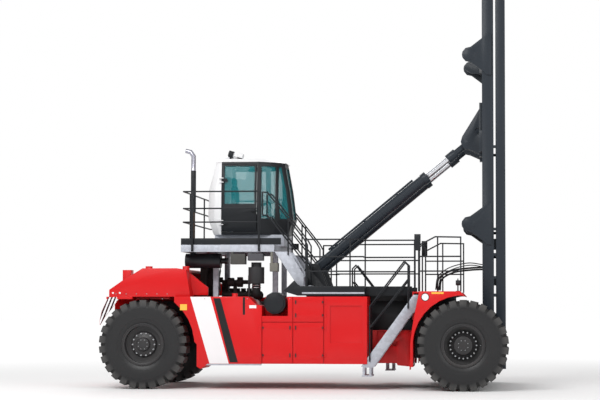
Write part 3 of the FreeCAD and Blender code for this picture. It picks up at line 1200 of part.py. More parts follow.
def tilt_barrel(side):
    """A tilt cylinder's barrel with its gland, its lower eye and the oil line along it."""
    y = side * TILT_Y
    end = TILT_BARREL_LENGTH
    barrel = flat_bar(along_tilt(60, y), along_tilt(end, y), TILT_BARREL_R)
    cap = flat_bar(along_tilt(end - 120, y), along_tilt(end, y), TILT_BARREL_R + 14)
    eye = boss_y(TILT_LOW_X, TILT_LOW_Z, y - 90, y + 90, TILT_EYE)
    line = flat_bar(along_tilt(500, y), along_tilt(end - 300, y), 22)
    line.translate(V(-90, 0, 110))
    clips = []
    for d in (600, 1500, 2400):
        p = along_tilt(d, y)
        clips.append(flat_bar(p, (p[0] - 90, y, p[2] + 110), 26))
    bore = flat_bar(along_tilt(1240, y), along_tilt(end + 5, y), TILT_ROD_R + SEAT)
    hole = pin_hole((TILT_LOW_X, y - 95, TILT_LOW_Z), (TILT_LOW_X, y + 95, TILT_LOW_Z), TILT_PIN_R)
    return fuse([barrel, cap, eye, line] + clips).cut(bore).cut(hole)


def tilt_rod(side):
    """A tilt cylinder's rod, its collar and the eye that the mast's clevis holds."""
    y = side * TILT_Y
    span = tilt_span()
    rod = flat_bar(along_tilt(1800, y), along_tilt(span - 330, y), TILT_ROD_R)
    collar = flat_bar(along_tilt(span - 560, y), along_tilt(span - 330, y), 100)
    neck = flat_bar(along_tilt(span - 340, y), along_tilt(span - 60, y), 66)
    eye = boss_y(TILT_HIGH_X, TILT_HIGH_Z, y - 52, y + 52, 120)
    hole = pin_hole((TILT_HIGH_X, y - 60, TILT_HIGH_Z), (TILT_HIGH_X, y + 60, TILT_HIGH_Z), TILT_PIN_R - 10,
                    TILT_DRIFT)
    return fuse([rod, collar, neck, eye]).cut(hole)


# Fittings

STACK_AT = (-5810, -1050)


def exhaust_stack():
    """The silencer under the platform, and the stack with its turned-back outlet above it."""
    x, y = STACK_AT
    pipe_top = PLATFORM_Z + 1930
    stack = [flat_bar((x, y, PLATFORM_Z + SEAT), (x, y, PLATFORM_Z + 730), 38),
             flat_bar((x, y, PLATFORM_Z + 720), (x, y, PLATFORM_Z + 1615), 52),
             pipe([(x, y, PLATFORM_Z + 1605), (x, y, pipe_top), (x - 60, y, pipe_top + 90), (x - 170, y, pipe_top + 115)],
                  46)]
    level = 2720
    silencer = [flat_bar((x - 150, y, level), (x + 610, y, level), 155),
                flat_bar((x + 600, y, level), (x + 760, y, level), 60),
                flat_bar((x, y, level + 100), (x, y, PLATFORM_Z - 12 - SEAT), 60)]
    return group([fuse(stack), fuse(silencer)])


def engine_accessories():
    """Air cleaner and its elbow, the drum, and the boxes hung under the platform."""
    x, y = -4405, -1250
    cleaner = [flat_bar((x, y, 2230), (x, y, 2580), 165), flat_bar((x, y, 2570), (x, y, 2680), 105),
               flat_bar((x, y, 2120), (x, y, 2240), 88),
               pipe([(x, y, 2130), (x, y, 2030), (x + 30, y + 60, 1990), (x + 30, y + 260, 1990)], 72),
               box((x - 170, x - 140), (y - 60, y + 60), (BODY_TOP + SEAT, 2400))]
    solids = [fuse(cleaner)]
    drum_x, drum_z = -3943, 1815
    rear = -BODY_SIDE + 420 - SEAT
    solids.append(fuse([boss_y(drum_x, drum_z, rear - 370, rear, 225), boss_y(drum_x, drum_z, rear - 405, rear - 360, 185)]))
    hang = PLATFORM_Z - CHANNEL_DEPTH - SEAT
    # columns: rear X, front X, bottom, top of a hung box
    for x0, x1, z0, z1 in ((-4925, -4612, 2637, 2857), (-4558, -4234, 2714, 2862), (-4085, -3915, 2482, 2665)):
        strap = box((x0 + 15, x0 + 65), (-1490, -1440), (z1 - 5, hang))
        solids.append(fuse([box((x0, x1), (-1490, -1260), (z0, z1)), strap]))
    return group(solids)


build_cab()
for side, name in ((-1, "right"), (1, "left")):
    nodes["drive_tyres_" + name], nodes["drive_wheel_" + name] = drive_wheels(side)
    nodes["steer_tyre_" + name], nodes["steer_wheel_" + name] = steer_wheel(side)
    nodes["knuckle_" + name] = knuckle(side)
    nodes["side_tank_" + name] = tank(side)
    nodes["tilt_barrel_" + name] = tilt_barrel(side)
    nodes["tilt_rod_" + name] = tilt_rod(side)
    nodes["spreader_arm_" + name] = spreader_arm(side)
nodes["steer_axle"] = steer_axle()
nodes["drive_axle"] = drive_axle()
nodes["chassis_frame"] = chassis_frame()
nodes["drivetrain"] = drivetrain()
nodes["engine"] = engine()
nodes["rear_hood"] = rear_hood()
nodes["counterweight"] = counterweight()
nodes["front_fenders"] = group([front_fender(-1), front_fender(1)])
nodes["main_deck"] = main_deck()
nodes["tilt_anchors"] = tilt_anchors()
nodes["cab_platform"] = cab_platform()
nodes["cab_stairs"] = cab_stairs()
nodes["side_cabinet_right"] = cabinet_right()
nodes["side_cabinet_left"] = cabinet_left()
nodes["ladders"] = group([ladder(-1), ladder(1)])
nodes["deck_rails"] = deck_rails()
nodes["platform_rails"] = platform_rails()
nodes["ladder_rails"] = ladder_rails()
nodes["exhaust_stack"] = exhaust_stack()
nodes["engine_accessories"] = engine_accessories()
DOOR_SPLIT = TANK_FRONT + 650
nodes["door_rear"] = side_door(TANK_FRONT, DOOR_SPLIT, BODY_BOTTOM, DOOR_SEAM, False, LOWER_HINGES)
nodes["door_front"] = side_door(DOOR_SPLIT, CABINET_FRONT, BODY_BOTTOM, DOOR_SEAM, True, LOWER_HINGES)
nodes["door_upper"] = side_door(DOOR_SPLIT, CABINET_FRONT, DOOR_SEAM, BODY_TOP, True, UPPER_HINGES)
nodes["mast_outer"] = mast_outer()
nodes["mast_inner"] = mast_inner()
nodes["lift_barrels"] = lift_barrels()
nodes["lift_rods"] = lift_rods()
nodes["free_lift_barrels"] = free_lift_barrels()
nodes["chain_head"] = chain_head()
nodes["carriage"] = carriage()
nodes["spreader_frame"] = spreader_frame()

# The origin is on the ground, under the middle of the whole machine's box.
whole = FreeCAD.BoundBox()
for shape in nodes.values():
    whole.add(shape.BoundBox)
SHIFT = V(-(whole.XMin + whole.XMax) / 2, 0, 0)

os.makedirs("parts", exist_ok=True)
for name, shape in nodes.items():
    moved = shape.copy()
    moved.translate(SHIFT)
    moved.exportStep("parts/" + name + ".step")
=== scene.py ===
import json
import math

import bmesh
import bpy
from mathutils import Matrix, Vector


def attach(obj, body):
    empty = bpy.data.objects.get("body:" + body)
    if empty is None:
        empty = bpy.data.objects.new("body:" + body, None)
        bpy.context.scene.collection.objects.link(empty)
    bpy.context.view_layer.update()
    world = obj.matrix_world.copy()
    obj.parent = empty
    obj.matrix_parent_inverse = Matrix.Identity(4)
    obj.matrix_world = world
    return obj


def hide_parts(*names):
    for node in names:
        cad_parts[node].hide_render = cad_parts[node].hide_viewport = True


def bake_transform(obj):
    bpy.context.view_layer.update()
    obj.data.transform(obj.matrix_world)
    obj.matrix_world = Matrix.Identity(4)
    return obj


# A laden container handler, dressed over its CAD frame. Metres, +X to the mast, +Y to the left.

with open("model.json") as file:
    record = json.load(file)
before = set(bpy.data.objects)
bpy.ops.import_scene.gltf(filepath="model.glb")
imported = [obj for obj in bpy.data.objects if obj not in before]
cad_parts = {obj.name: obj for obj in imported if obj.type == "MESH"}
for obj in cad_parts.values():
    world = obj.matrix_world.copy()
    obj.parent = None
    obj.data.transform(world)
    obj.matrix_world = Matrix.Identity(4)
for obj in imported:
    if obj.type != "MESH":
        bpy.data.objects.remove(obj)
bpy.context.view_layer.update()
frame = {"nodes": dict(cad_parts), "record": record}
NODES = frame["nodes"]

# The CAD's X is counted from the middle of the machine. The places of the pieces below are counted in it too.
DRIVE_X = 2.0
STEER_X = DRIVE_X - 6.77
AXLE_Z = 0.94
SIDE_Y = 1.75
DRIVE_TYRE_Y = 1.845
DUAL_PITCH = 0.60
STEER_TYRE_Y = 1.41
FENDER_Y = 2.06
DECK_Y = 1.70
FILM = 0.0015
SIDES = ((-1, "right"), (1, "left"))


# Shader groups

COLOUR, FLOAT, VECTOR = "NodeSocketColor", "NodeSocketFloat", "NodeSocketVector"


def new_group(name, inputs, outputs):
    """An empty shader node group with its named sockets, and its two end nodes."""
    group = bpy.data.node_groups.new(name, "ShaderNodeTree")
    for label, kind, value in inputs:
        socket = group.interface.new_socket(name=label, in_out="INPUT", socket_type=kind)
        if value is not None:
            socket.default_value = value
    for label, kind in outputs:
        group.interface.new_socket(name=label, in_out="OUTPUT", socket_type=kind)
    nodes = group.nodes
    return group, nodes, group.links, nodes.new("NodeGroupInput"), nodes.new("NodeGroupOutput")


def math_node(nodes, links, operation, a, b=None, clamp=False):
    node = nodes.new("ShaderNodeMath")
    node.operation = operation
    node.use_clamp = clamp
    for i, value in enumerate((a, b)):
        if value is None:
            continue
        if isinstance(value, (int, float)):
            node.inputs[i].default_value = value
        else:
            links.new(value, node.inputs[i])
    return node.outputs[0]


def mix_node(nodes, links, factor, a, b):
    node = nodes.new("ShaderNodeMix")
    node.data_type = "RGBA"
    for value, socket in ((factor, node.inputs[0]), (a, node.inputs[6]), (b, node.inputs[7])):
        if isinstance(value, (int, float, tuple)):
            socket.default_value = value
        else:
            links.new(value, socket)
    return node.outputs[2]


def noise_node(nodes, links, vector, scale, detail):
    node = nodes.new("ShaderNodeTexNoise")
    links.new(vector, node.inputs["Vector"])
    if isinstance(scale, (int, float)):
        node.inputs["Scale"].default_value = scale
    else:
        links.new(scale, node.inputs["Scale"])
    node.inputs["Detail"].default_value = detail
    return node.outputs["Fac"]


def build_grime_group():
    """Road dust that gathers low down and in soft patches, over a clean colour."""
    group, nodes, links, start, end = new_group(
        "road_grime",
        [("Clean", COLOUR, (0.5, 0.5, 0.5, 1)), ("Dust", COLOUR, (0.20, 0.17, 0.15, 1)),
         ("Amount", FLOAT, 0.2), ("Patch Scale", FLOAT, 1.5), ("Dust Height", FLOAT, 0.9),
         ("Variation", FLOAT, 0.06)],
        [("Color", COLOUR), ("Mask", FLOAT)])
    place = nodes.new("ShaderNodeTexCoord").outputs["Object"]
    noise = noise_node(nodes, links, place, start.outputs["Patch Scale"], 6)
    split = nodes.new("ShaderNodeSeparateXYZ")
    links.new(place, split.inputs[0])
    depth = math_node(nodes, links, "SUBTRACT", start.outputs["Dust Height"], split.outputs[2])
    low = math_node(nodes, links, "DIVIDE", depth, start.outputs["Dust Height"], clamp=True)
    patch = math_node(nodes, links, "MULTIPLY", noise, 1.4)
    patch = math_node(nodes, links, "SUBTRACT", patch, 0.35, clamp=True)
    mask = math_node(nodes, links, "ADD", low, 0.12)
    mask = math_node(nodes, links, "MULTIPLY", mask, patch)
    mask = math_node(nodes, links, "MULTIPLY", mask, start.outputs["Amount"], clamp=True)
    shade = math_node(nodes, links, "SUBTRACT", noise_node(nodes, links, place, 0.7, 2), 0.5)
    shade = math_node(nodes, links, "MULTIPLY", shade, start.outputs["Variation"])
    shade = math_node(nodes, links, "ADD", shade, 1.0)
    tone = nodes.new("ShaderNodeVectorMath")
    tone.operation = "SCALE"
    links.new(start.outputs["Clean"], tone.inputs[0])
    links.new(shade, tone.inputs["Scale"])
    links.new(mix_node(nodes, links, mask, tone.outputs[0], start.outputs["Dust"]), end.inputs["Color"])
    links.new(mask, end.inputs["Mask"])
    return group


def build_relief_group():
    """Fine surface relief: the roll of sprayed paint or the pitting of cast metal."""
    group, nodes, links, start, end = new_group(
        "surface_relief", [("Scale", FLOAT, 60.0), ("Strength", FLOAT, 0.1), ("Depth", FLOAT, 0.002)],
        [("Normal", VECTOR), ("Height", FLOAT)])
    place = nodes.new("ShaderNodeTexCoord").outputs["Object"]
    height = noise_node(nodes, links, place, start.outputs["Scale"], 3)
    bump = nodes.new("ShaderNodeBump")
    links.new(height, bump.inputs["Height"])
    links.new(start.outputs["Strength"], bump.inputs["Strength"])
    links.new(start.outputs["Depth"], bump.inputs["Distance"])
    links.new(bump.outputs[0], end.inputs["Normal"])
    links.new(height, end.inputs["Height"])
    return group


def build_spangle_group():
    """The crystal patches of zinc on galvanised steel."""
    group, nodes, links, start, end = new_group(
        "zinc_spangle",
        [("Base", COLOUR, (0.5, 0.5, 0.5, 1)), ("Spangle", FLOAT, 0.15), ("Scale", FLOAT, 14.0)],
        [("Color", COLOUR), ("Roughness", FLOAT)])
    place = nodes.new("ShaderNodeTexCoord")
    cells = nodes.new("ShaderNodeTexVoronoi")
    links.new(place.outputs["Object"], cells.inputs["Vector"])
    links.new(start.outputs["Scale"], cells.inputs["Scale"])
    split = nodes.new("ShaderNodeSeparateColor")
    links.new(cells.outputs["Color"], split.inputs[0])
    offset = math_node(nodes, links, "SUBTRACT", split.outputs[0], 0.5)
    offset = math_node(nodes, links, "MULTIPLY", offset, start.outputs["Spangle"])
    tone = nodes.new("ShaderNodeVectorMath")
    tone.operation = "SCALE"
    links.new(start.outputs["Base"], tone.inputs[0])
    links.new(math_node(nodes, links, "ADD", offset, 1.0), tone.inputs["Scale"])
    rough = math_node(nodes, links, "MULTIPLY", split.outputs[1], 0.2)
    links.new(tone.outputs[0], end.inputs["Color"])
    links.new(math_node(nodes, links, "ADD", rough, 0.40), end.inputs["Roughness"])
    return group


def build_tyre_group():
    """Distance from one wheel's axis, split into sidewall, ribs and dusty tread."""
    group, nodes, links, start, end = new_group(
        "tyre_zones",
        [("Axle X", FLOAT, 0.0), ("Axle Z", FLOAT, 0.94), ("Wall", COLOUR, (0.011, 0.011, 0.012, 1)),
         ("Tread", COLOUR, (0.070, 0.068, 0.066, 1)), ("Lug Count", FLOAT, 26.0)],
        [("Color", COLOUR), ("Height", FLOAT), ("Tread Mask", FLOAT)])
    place = nodes.new("ShaderNodeTexCoord").outputs["Object"]
    split = nodes.new("ShaderNodeSeparateXYZ")
    links.new(place, split.inputs[0])
    dx = math_node(nodes, links, "SUBTRACT", split.outputs[0], start.outputs["Axle X"])
    dz = math_node(nodes, links, "SUBTRACT", split.outputs[2], start.outputs["Axle Z"])
    square = math_node(nodes, links, "ADD", math_node(nodes, links, "MULTIPLY", dx, dx),
                       math_node(nodes, links, "MULTIPLY", dz, dz))
    radius = math_node(nodes, links, "SQRT", square)
    zone = nodes.new("ShaderNodeMapRange")
    links.new(radius, zone.inputs["Value"])
    zone.inputs["From Min"].default_value = 0.79
    zone.inputs["From Max"].default_value = 0.88
    speckle = math_node(nodes, links, "ADD", noise_node(nodes, links, place, 5.0, 5), 0.2, clamp=True)
    dusty = math_node(nodes, links, "MULTIPLY", zone.outputs[0], speckle)
    skin = mix_node(nodes, links, dusty, start.outputs["Wall"], start.outputs["Tread"])
    # the first lug stands at the top; the grooves between the lugs run down the shoulder, sunk by the height
    # and painted near-black as painted shade
    turn = math_node(nodes, links, "DIVIDE", math_node(nodes, links, "ARCTAN2", dx, dz), 2 * math.pi)
    turn = math_node(nodes, links, "MULTIPLY", turn, start.outputs["Lug Count"])
    groove = math_node(nodes, links, "GREATER_THAN", math_node(nodes, links, "PINGPONG", turn, 0.5), 0.37)
    for test, limit in (("GREATER_THAN", 0.80), ("LESS_THAN", 0.925)):
        groove = math_node(nodes, links, "MULTIPLY", groove, math_node(nodes, links, test, radius, limit))
    # painted shade: the grooves between the lugs get a near-black colour
    links.new(mix_node(nodes, links, groove, skin, (0.002, 0.002, 0.002, 1)), end.inputs["Color"])
    rib = math_node(nodes, links, "PINGPONG", math_node(nodes, links, "SUBTRACT", radius, 0.545), 0.105)
    rib = math_node(nodes, links, "LESS_THAN", rib, 0.008)
    inside = math_node(nodes, links, "LESS_THAN", radius, 0.80)
    rib = math_node(nodes, links, "MULTIPLY", rib, inside)
    links.new(math_node(nodes, links, "SUBTRACT", rib, groove), end.inputs["Height"])
    links.new(zone.outputs[0], end.inputs["Tread Mask"])
    return group


def build_stripe_group():
    """Slanting hazard stripes in two colours."""
    group, nodes, links, start, end = new_group(
        "hazard_stripes",
        [("Light", COLOUR, (0.8, 0.8, 0.8, 1)), ("Dark", COLOUR, (0.03, 0.005, 0.006, 1)),
         ("Pitch", FLOAT, 0.1), ("Dark Share", FLOAT, 0.5), ("Lean", FLOAT, 0.4)],
        [("Color", COLOUR)])
    split = nodes.new("ShaderNodeSeparateXYZ")
    links.new(nodes.new("ShaderNodeTexCoord").outputs["Object"], split.inputs[0])
    lean = math_node(nodes, links, "MULTIPLY", split.outputs[2], start.outputs["Lean"])
    along = math_node(nodes, links, "SUBTRACT", split.outputs[0], lean)
    turn = math_node(nodes, links, "FLOORED_MODULO", along, start.outputs["Pitch"])
    limit = math_node(nodes, links, "MULTIPLY", start.outputs["Pitch"], start.outputs["Dark Share"])
    dark = math_node(nodes, links, "LESS_THAN", turn, limit)
    colour = mix_node(nodes, links, dark, start.outputs["Light"], start.outputs["Dark"])
    links.new(colour, end.inputs["Color"])
    return group


def build_floor_group():
    """A plain floor that turns to even white away from the machine, so that it shows no horizon."""
    group, nodes, links, start, end = new_group(
        "floor_fade",
        [("Near", COLOUR, (0.93, 0.93, 0.93, 1)), ("Inner Radius", FLOAT, 8.0),
         ("Outer Radius", FLOAT, 20.0)],
        [("Color", COLOUR), ("Glow", COLOUR)])
    reach = nodes.new("ShaderNodeVectorMath")
    reach.operation = "LENGTH"
    links.new(nodes.new("ShaderNodeTexCoord").outputs["Object"], reach.inputs[0])
    zone = nodes.new("ShaderNodeMapRange")
    zone.interpolation_type = "SMOOTHSTEP"
    links.new(reach.outputs["Value"], zone.inputs["Value"])
    links.new(start.outputs["Inner Radius"], zone.inputs["From Min"])
    links.new(start.outputs["Outer Radius"], zone.inputs["From Max"])
    black, white = (0, 0, 0, 1), (1, 1, 1, 1)
    links.new(mix_node(nodes, links, zone.outputs[0], start.outputs["Near"], black), end.inputs["Color"])
    links.new(mix_node(nodes, links, zone.outputs[0], black, white), end.inputs["Glow"])
    return group


GRIME = build_grime_group()
RELIEF = build_relief_group()
SPANGLE = build_spangle_group()
TYRE_ZONES = build_tyre_group()
STRIPES = build_stripe_group()
FLOOR_FADE = build_floor_group()


# Finishes

def blank_material(name, colour, roughness, metallic=0.0, **sockets):
    material = bpy.data.materials.new(name)
    material.use_nodes = True
    shader = material.node_tree.nodes["Principled BSDF"]
    shader.inputs["Base Color"].default_value = (*colour, 1)
    shader.inputs["Roughness"].default_value = roughness
    shader.inputs["Metallic"].default_value = metallic
    for label, value in sockets.items():
        shader.inputs[label.replace("_", " ")].default_value = value
    material.diffuse_color = (*colour, 1)
    return material, shader


def place_group(material, group, values):
    node = material.node_tree.nodes.new("ShaderNodeGroup")
    node.node_tree = group
    for label, value in values.items():
        node.inputs[label].default_value = value
    return node


def sprayed_paint(name, colour, roughness=0.34, coat=0.1, dust=0.25, relief=0.12, height=0.9,
                  variation=0.08, specular=0.25):
    """Sprayed machine paint: slight roll in the film, road dust low down."""
    material, shader = blank_material(name, colour, roughness, Coat_Weight=coat, Coat_Roughness=0.15,
                                      Specular_IOR_Level=specular)
    nodes, links = material.node_tree.nodes, material.node_tree.links
    grime = place_group(material, GRIME, {"Clean": (*colour, 1), "Amount": dust, "Dust Height": height,
                                          "Variation": variation})
    links.new(grime.outputs["Color"], shader.inputs["Base Color"])
    rough = math_node(nodes, links, "MULTIPLY", grime.outputs["Mask"], 0.5)
    links.new(math_node(nodes, links, "ADD", rough, roughness), shader.inputs["Roughness"])
    film = place_group(material, RELIEF, {"Scale": 55.0, "Strength": relief, "Depth": 0.002})
    links.new(film.outputs["Normal"], shader.inputs["Normal"])
    return material


def galvanised_steel(name, colour=(0.42, 0.44, 0.49)):
    material, shader = blank_material(name, colour, 0.45, 0.35)
    links = material.node_tree.links
    grain = place_group(material, SPANGLE, {"Base": (*colour, 1), "Spangle": 0.18, "Scale": 16.0})
    links.new(grain.outputs["Color"], shader.inputs["Base Color"])
    links.new(grain.outputs["Roughness"], shader.inputs["Roughness"])
    return material


def bright_steel(name, colour, roughness, metallic=1.0, relief=0.05):
    material, shader = blank_material(name, colour, roughness, metallic)
    nodes, links = material.node_tree.nodes, material.node_tree.links
    skin = place_group(material, RELIEF, {"Scale": 30.0, "Strength": relief, "Depth": 0.001})
    links.new(skin.outputs["Normal"], shader.inputs["Normal"])
    rough = math_node(nodes, links, "MULTIPLY", skin.outputs["Height"], 0.12)
    rough = math_node(nodes, links, "ADD", rough, roughness - 0.05, clamp=True)
    links.new(rough, shader.inputs["Roughness"])
    return material


def cast_metal(name, colour):
    material, shader = blank_material(name, colour, 0.65, 0.1, Specular_IOR_Level=0.2)
    links = material.node_tree.links
    grime = place_group(material, GRIME, {"Clean": (*colour, 1), "Dust": (0.08, 0.065, 0.055, 1),
                                          "Amount": 0.8, "Dust Height": 3.5, "Patch Scale": 4.0,
                                          "Variation": 0.6})
    links.new(grime.outputs["Color"], shader.inputs["Base Color"])
    skin = place_group(material, RELIEF, {"Scale": 90.0, "Strength": 0.5, "Depth": 0.004})
    links.new(skin.outputs["Normal"], shader.inputs["Normal"])
    return material


def moulded_rubber(name, colour, roughness=0.6):
    material, shader = blank_material(name, colour, roughness, Specular_IOR_Level=0.2)
    links = material.node_tree.links
    skin = place_group(material, RELIEF, {"Scale": 120.0, "Strength": 0.25, "Depth": 0.002})
    links.new(skin.outputs["Normal"], shader.inputs["Normal"])
    grime = place_group(material, GRIME, {"Clean": (*colour, 1), "Amount": 0.2, "Dust Height": 1.2,
                                          "Variation": 0.3})
    links.new(grime.outputs["Color"], shader.inputs["Base Color"])
    return material


def tyre_rubber(name, axle_x):
    material, shader = blank_material(name, (0.010, 0.010, 0.010), 0.5, Specular_IOR_Level=0.45)
    nodes, links = material.node_tree.nodes, material.node_tree.links
    zones = place_group(material, TYRE_ZONES, {"Axle X": axle_x, "Axle Z": AXLE_Z})
    links.new(zones.outputs["Color"], shader.inputs["Base Color"])
    rough = math_node(nodes, links, "MULTIPLY", zones.outputs["Tread Mask"], 0.35)
    links.new(math_node(nodes, links, "ADD", rough, 0.42), shader.inputs["Roughness"])
    skin = place_group(material, RELIEF, {"Scale": 80.0, "Strength": 0.3, "Depth": 0.003})
    bump = nodes.new("ShaderNodeBump")
    bump.inputs["Distance"].default_value = 0.010
    bump.inputs["Strength"].default_value = 0.8
    links.new(zones.outputs["Height"], bump.inputs["Height"])
    links.new(skin.outputs["Normal"], bump.inputs["Normal"])
    links.new(bump.outputs[0], shader.inputs["Normal"])
    return material


def striped_film(name, light, dark, pitch):
    material, shader = blank_material(name, light, 0.4, Specular_IOR_Level=0.25)
    stripes = place_group(material, STRIPES, {"Light": (*light, 1), "Dark": (*dark, 1), "Pitch": pitch})
    material.node_tree.links.new(stripes.outputs["Color"], shader.inputs["Base Color"])
    return material


def tinted_glass(name, colour, alpha):
    material, shader = blank_material(name, colour, 0.03, 0.0, Alpha=alpha, Specular_IOR_Level=0.4)
    relief = place_group(material, RELIEF, {"Scale": 2.0, "Strength": 0.02, "Depth": 0.001})
    material.node_tree.links.new(relief.outputs["Normal"], shader.inputs["Normal"])
    return material


# A lens with an emission glow: the lamps' own light, and painted light on the reflectors.
def glowing_lens(name, colour, glow=0.0):
    material, shader = blank_material(name, colour, 0.15, Coat_Weight=0.6, Coat_Roughness=0.05)
    shader.inputs["Emission Color"].default_value = (*colour, 1)
    shader.inputs["Emission Strength"].default_value = glow
    relief = place_group(material, RELIEF, {"Scale": 140.0, "Strength": 0.4, "Depth": 0.002})
    material.node_tree.links.new(relief.outputs["Normal"], shader.inputs["Normal"])
    return material


RED = (0.60, 0.004, 0.006)
BLACK = (0.010, 0.012, 0.015)
WHITE = (0.80, 0.80, 0.81)
SIGNAL_RED = sprayed_paint("signal_red_paint", RED, 0.34, 0.12, 0.20)
MAST_PAINT = sprayed_paint("slate_mast_paint", (0.018, 0.024, 0.032), 0.42, 0.05, 0.10, 0.2, 1.5, 0.3)
BLACK_PAINT = sprayed_paint("black_machine_paint", BLACK, 0.42, 0.05, 0.12, 0.2)
WHITE_PAINT = sprayed_paint("white_cab_paint", WHITE, 0.32, 0.15, 0.05)
GREY_PAINT = sprayed_paint("grey_box_paint", (0.078, 0.078, 0.087), 0.45, 0.0, 0.1)
BROWN_PAINT = sprayed_paint("brown_grey_box_paint", (0.065, 0.063, 0.058), 0.5, 0.0, 0.1)
TAN_PAINT = sprayed_paint("tan_box_paint", (0.156, 0.150, 0.130), 0.5, 0.0, 0.1)
DARK_PLASTIC = moulded_rubber("dark_moulding", (0.030, 0.030, 0.032), 0.5)
GALVANISED = galvanised_steel("galvanised_steel")
CHROME = bright_steel("hard_chrome", (0.66, 0.67, 0.70), 0.20, relief=0.004)
STEEL = bright_steel("machined_steel", (0.40, 0.41, 0.42), 0.36)
NUT_STEEL = bright_steel("zinc_nuts", (0.55, 0.56, 0.58), 0.35, 0.8)
CAST = cast_metal("cast_engine_metal", (0.028, 0.021, 0.022))
RIM_PAINT = sprayed_paint("rim_paint", (0.022, 0.022, 0.024), 0.40, 0.0, 0.25, 0.2, 1.8, specular=0.4)
STACK_STEEL = bright_steel("dulled_stack_steel", (0.42, 0.42, 0.48), 0.36, relief=0.01)
RUBBER = moulded_rubber("hose_rubber", (0.010, 0.010, 0.011))
SEAT_CLOTH = moulded_rubber("seat_cloth", (0.020, 0.020, 0.022), 0.9)
RUSTY_PIPE = cast_metal("heat_browned_pipe", (0.050, 0.030, 0.020))
CAB_GLASS = tinted_glass("tinted_cab_glass", (0.02, 0.26, 0.29), 0.36)
# The amber reflectors are no lamps: their faint glow is painted light.
AMBER = glowing_lens("amber_reflector", (0.88, 0.45, 0.05), 0.1)
CLEAR_LENS = glowing_lens("clear_lamp_lens", (0.70, 0.72, 0.74), 0.05)
BAND_WHITE = sprayed_paint("white_band_film", (0.82, 0.80, 0.81), 0.4, 0.0, 0.55, 0.1, 0.75)
BAND_BLACK = sprayed_paint("black_band_film", (0.012, 0.012, 0.013), 0.4, 0.0, 0.15)
HAZARD = striped_film("hazard_film", WHITE, (0.030, 0.005, 0.006), 0.076)

FINISH = {
    "red_paint": SIGNAL_RED,
    "mast_paint": MAST_PAINT,
    "black_paint": BLACK_PAINT,
    "white_paint": WHITE_PAINT,
    "grey_paint": GREY_PAINT,
    "galvanised": GALVANISED,
    "chrome": CHROME,
    "steel": STEEL,
    "cast_grey": CAST,
    "rubber": RUBBER,
    "seat_fabric": SEAT_CLOTH,
    "console_plastic": DARK_PLASTIC,
    "cab_glass": CAB_GLASS,
}
DRIVE_RUBBER = tyre_rubber("drive_tyre_rubber", DRIVE_X)
STEER_RUBBER = tyre_rubber("steer_tyre_rubber", STEER_X)
FINISH_BY_NODE = {
    "exhaust_stack": STACK_STEEL,
    "drive_tyres_right": DRIVE_RUBBER, "drive_tyres_left": DRIVE_RUBBER,
    "steer_tyre_right": STEER_RUBBER, "steer_tyre_left": STEER_RUBBER,
    "drive_wheel_right": RIM_PAINT, "drive_wheel_left": RIM_PAINT,
    "steer_wheel_right": RIM_PAINT, "steer_wheel_left": RIM_PAINT,
}

# Round pieces have flat sides up to 60 degrees apart, and the wheels 14 degrees.
ROUND_NODES = ("tilt_barrel_right", "tilt_barrel_left", "tilt_rod_right", "tilt_rod_left", "lift_barrels",
               "lift_rods", "free_lift_barrels", "chain_head", "exhaust_stack", "engine_accessories",
               "deck_rails", "platform_rails", "ladder_rails", "steering_console")
ROUND_CREASE = 62
FLAT_CREASE = 28
EDGE_RADIUS = 0.004


def round_edges(node, crease):
    """Welds a CAD node's facets, rounds its edges and shades it smooth below the crease angle."""
    mesh = node.data
    for face in mesh.polygons:
        face.use_smooth = True
    if "custom_normal" in mesh.attributes:
        mesh.attributes.remove(mesh.attributes["custom_normal"])
    weld = node.modifiers.new("weld", "WELD")
    weld.merge_threshold = 0.00002
    flat = node.modifiers.new("flat_faces", "DECIMATE")
    flat.decimate_type = "DISSOLVE"
    flat.angle_limit = math.radians(0.5)
    edge = node.modifiers.new("edge_radius", "BEVEL")
    edge.width = EDGE_RADIUS
    edge.segments = 2
    edge.limit_method = "ANGLE"
    edge.angle_limit = math.radians(crease)
    split = node.modifiers.new("creases", "EDGE_SPLIT")
    split.split_angle = math.radians(crease)


def paint_faces(node, finish, wanted):
    """Gives another finish to the faces of a CAD node whose middle is wanted."""
    mesh = node.data
    mesh.materials.append(finish)
    index = len(mesh.materials) - 1
    for face in mesh.polygons:
        if wanted(face.center):
            face.material_index = index


slot_of = {row["node"]: row["material_slot"] for row in frame["record"]["subparts"]}
for name, node in NODES.items():
    node.data.materials.clear()
    node.data.materials.append(FINISH_BY_NODE.get(name, FINISH.get(slot_of[name], BLACK_PAINT)))
    round_edges(node, ROUND_CREASE if name in ROUND_NODES else FLAT_CREASE)

for word in ("right", "left"):
    # the fork and collar past the bright rod
    paint_faces(NODES["tilt_rod_" + word], MAST_PAINT, lambda c: c.x > 1.63)
paint_faces(NODES["engine_accessories"], BLACK_PAINT, lambda c: c.x > -2.2 and c.z < 2.1)
paint_faces(NODES["engine_accessories"], DARK_PLASTIC, lambda c: -2.6 < c.x < -2.2 and c.z < 2.69)
paint_faces(NODES["engine_accessories"], BROWN_PAINT, lambda c: c.x < -2.6)
paint_faces(NODES["engine_accessories"], TAN_PAINT, lambda c: c.x > -2.2 and c.z > 2.4)
paint_faces(NODES["exhaust_stack"], BLACK_PAINT, lambda c: c.z < 3.045 or 3.76 < c.z < 4.68)
paint_faces(NODES["exhaust_stack"], RUSTY_PIPE, lambda c: 3.045 < c.z < 3.76)
paint_faces(NODES["roof_lights"], BLACK_PAINT, lambda c: abs(c.y) > 0.205)
for name in ("door_rear", "door_front", "door_upper"):
    # the latches and hinge barrels, proud of the leaf
    paint_faces(NODES[name], DARK_PLASTIC, lambda c: c.y < -SIDE_Y - 0.002)


# Making pieces

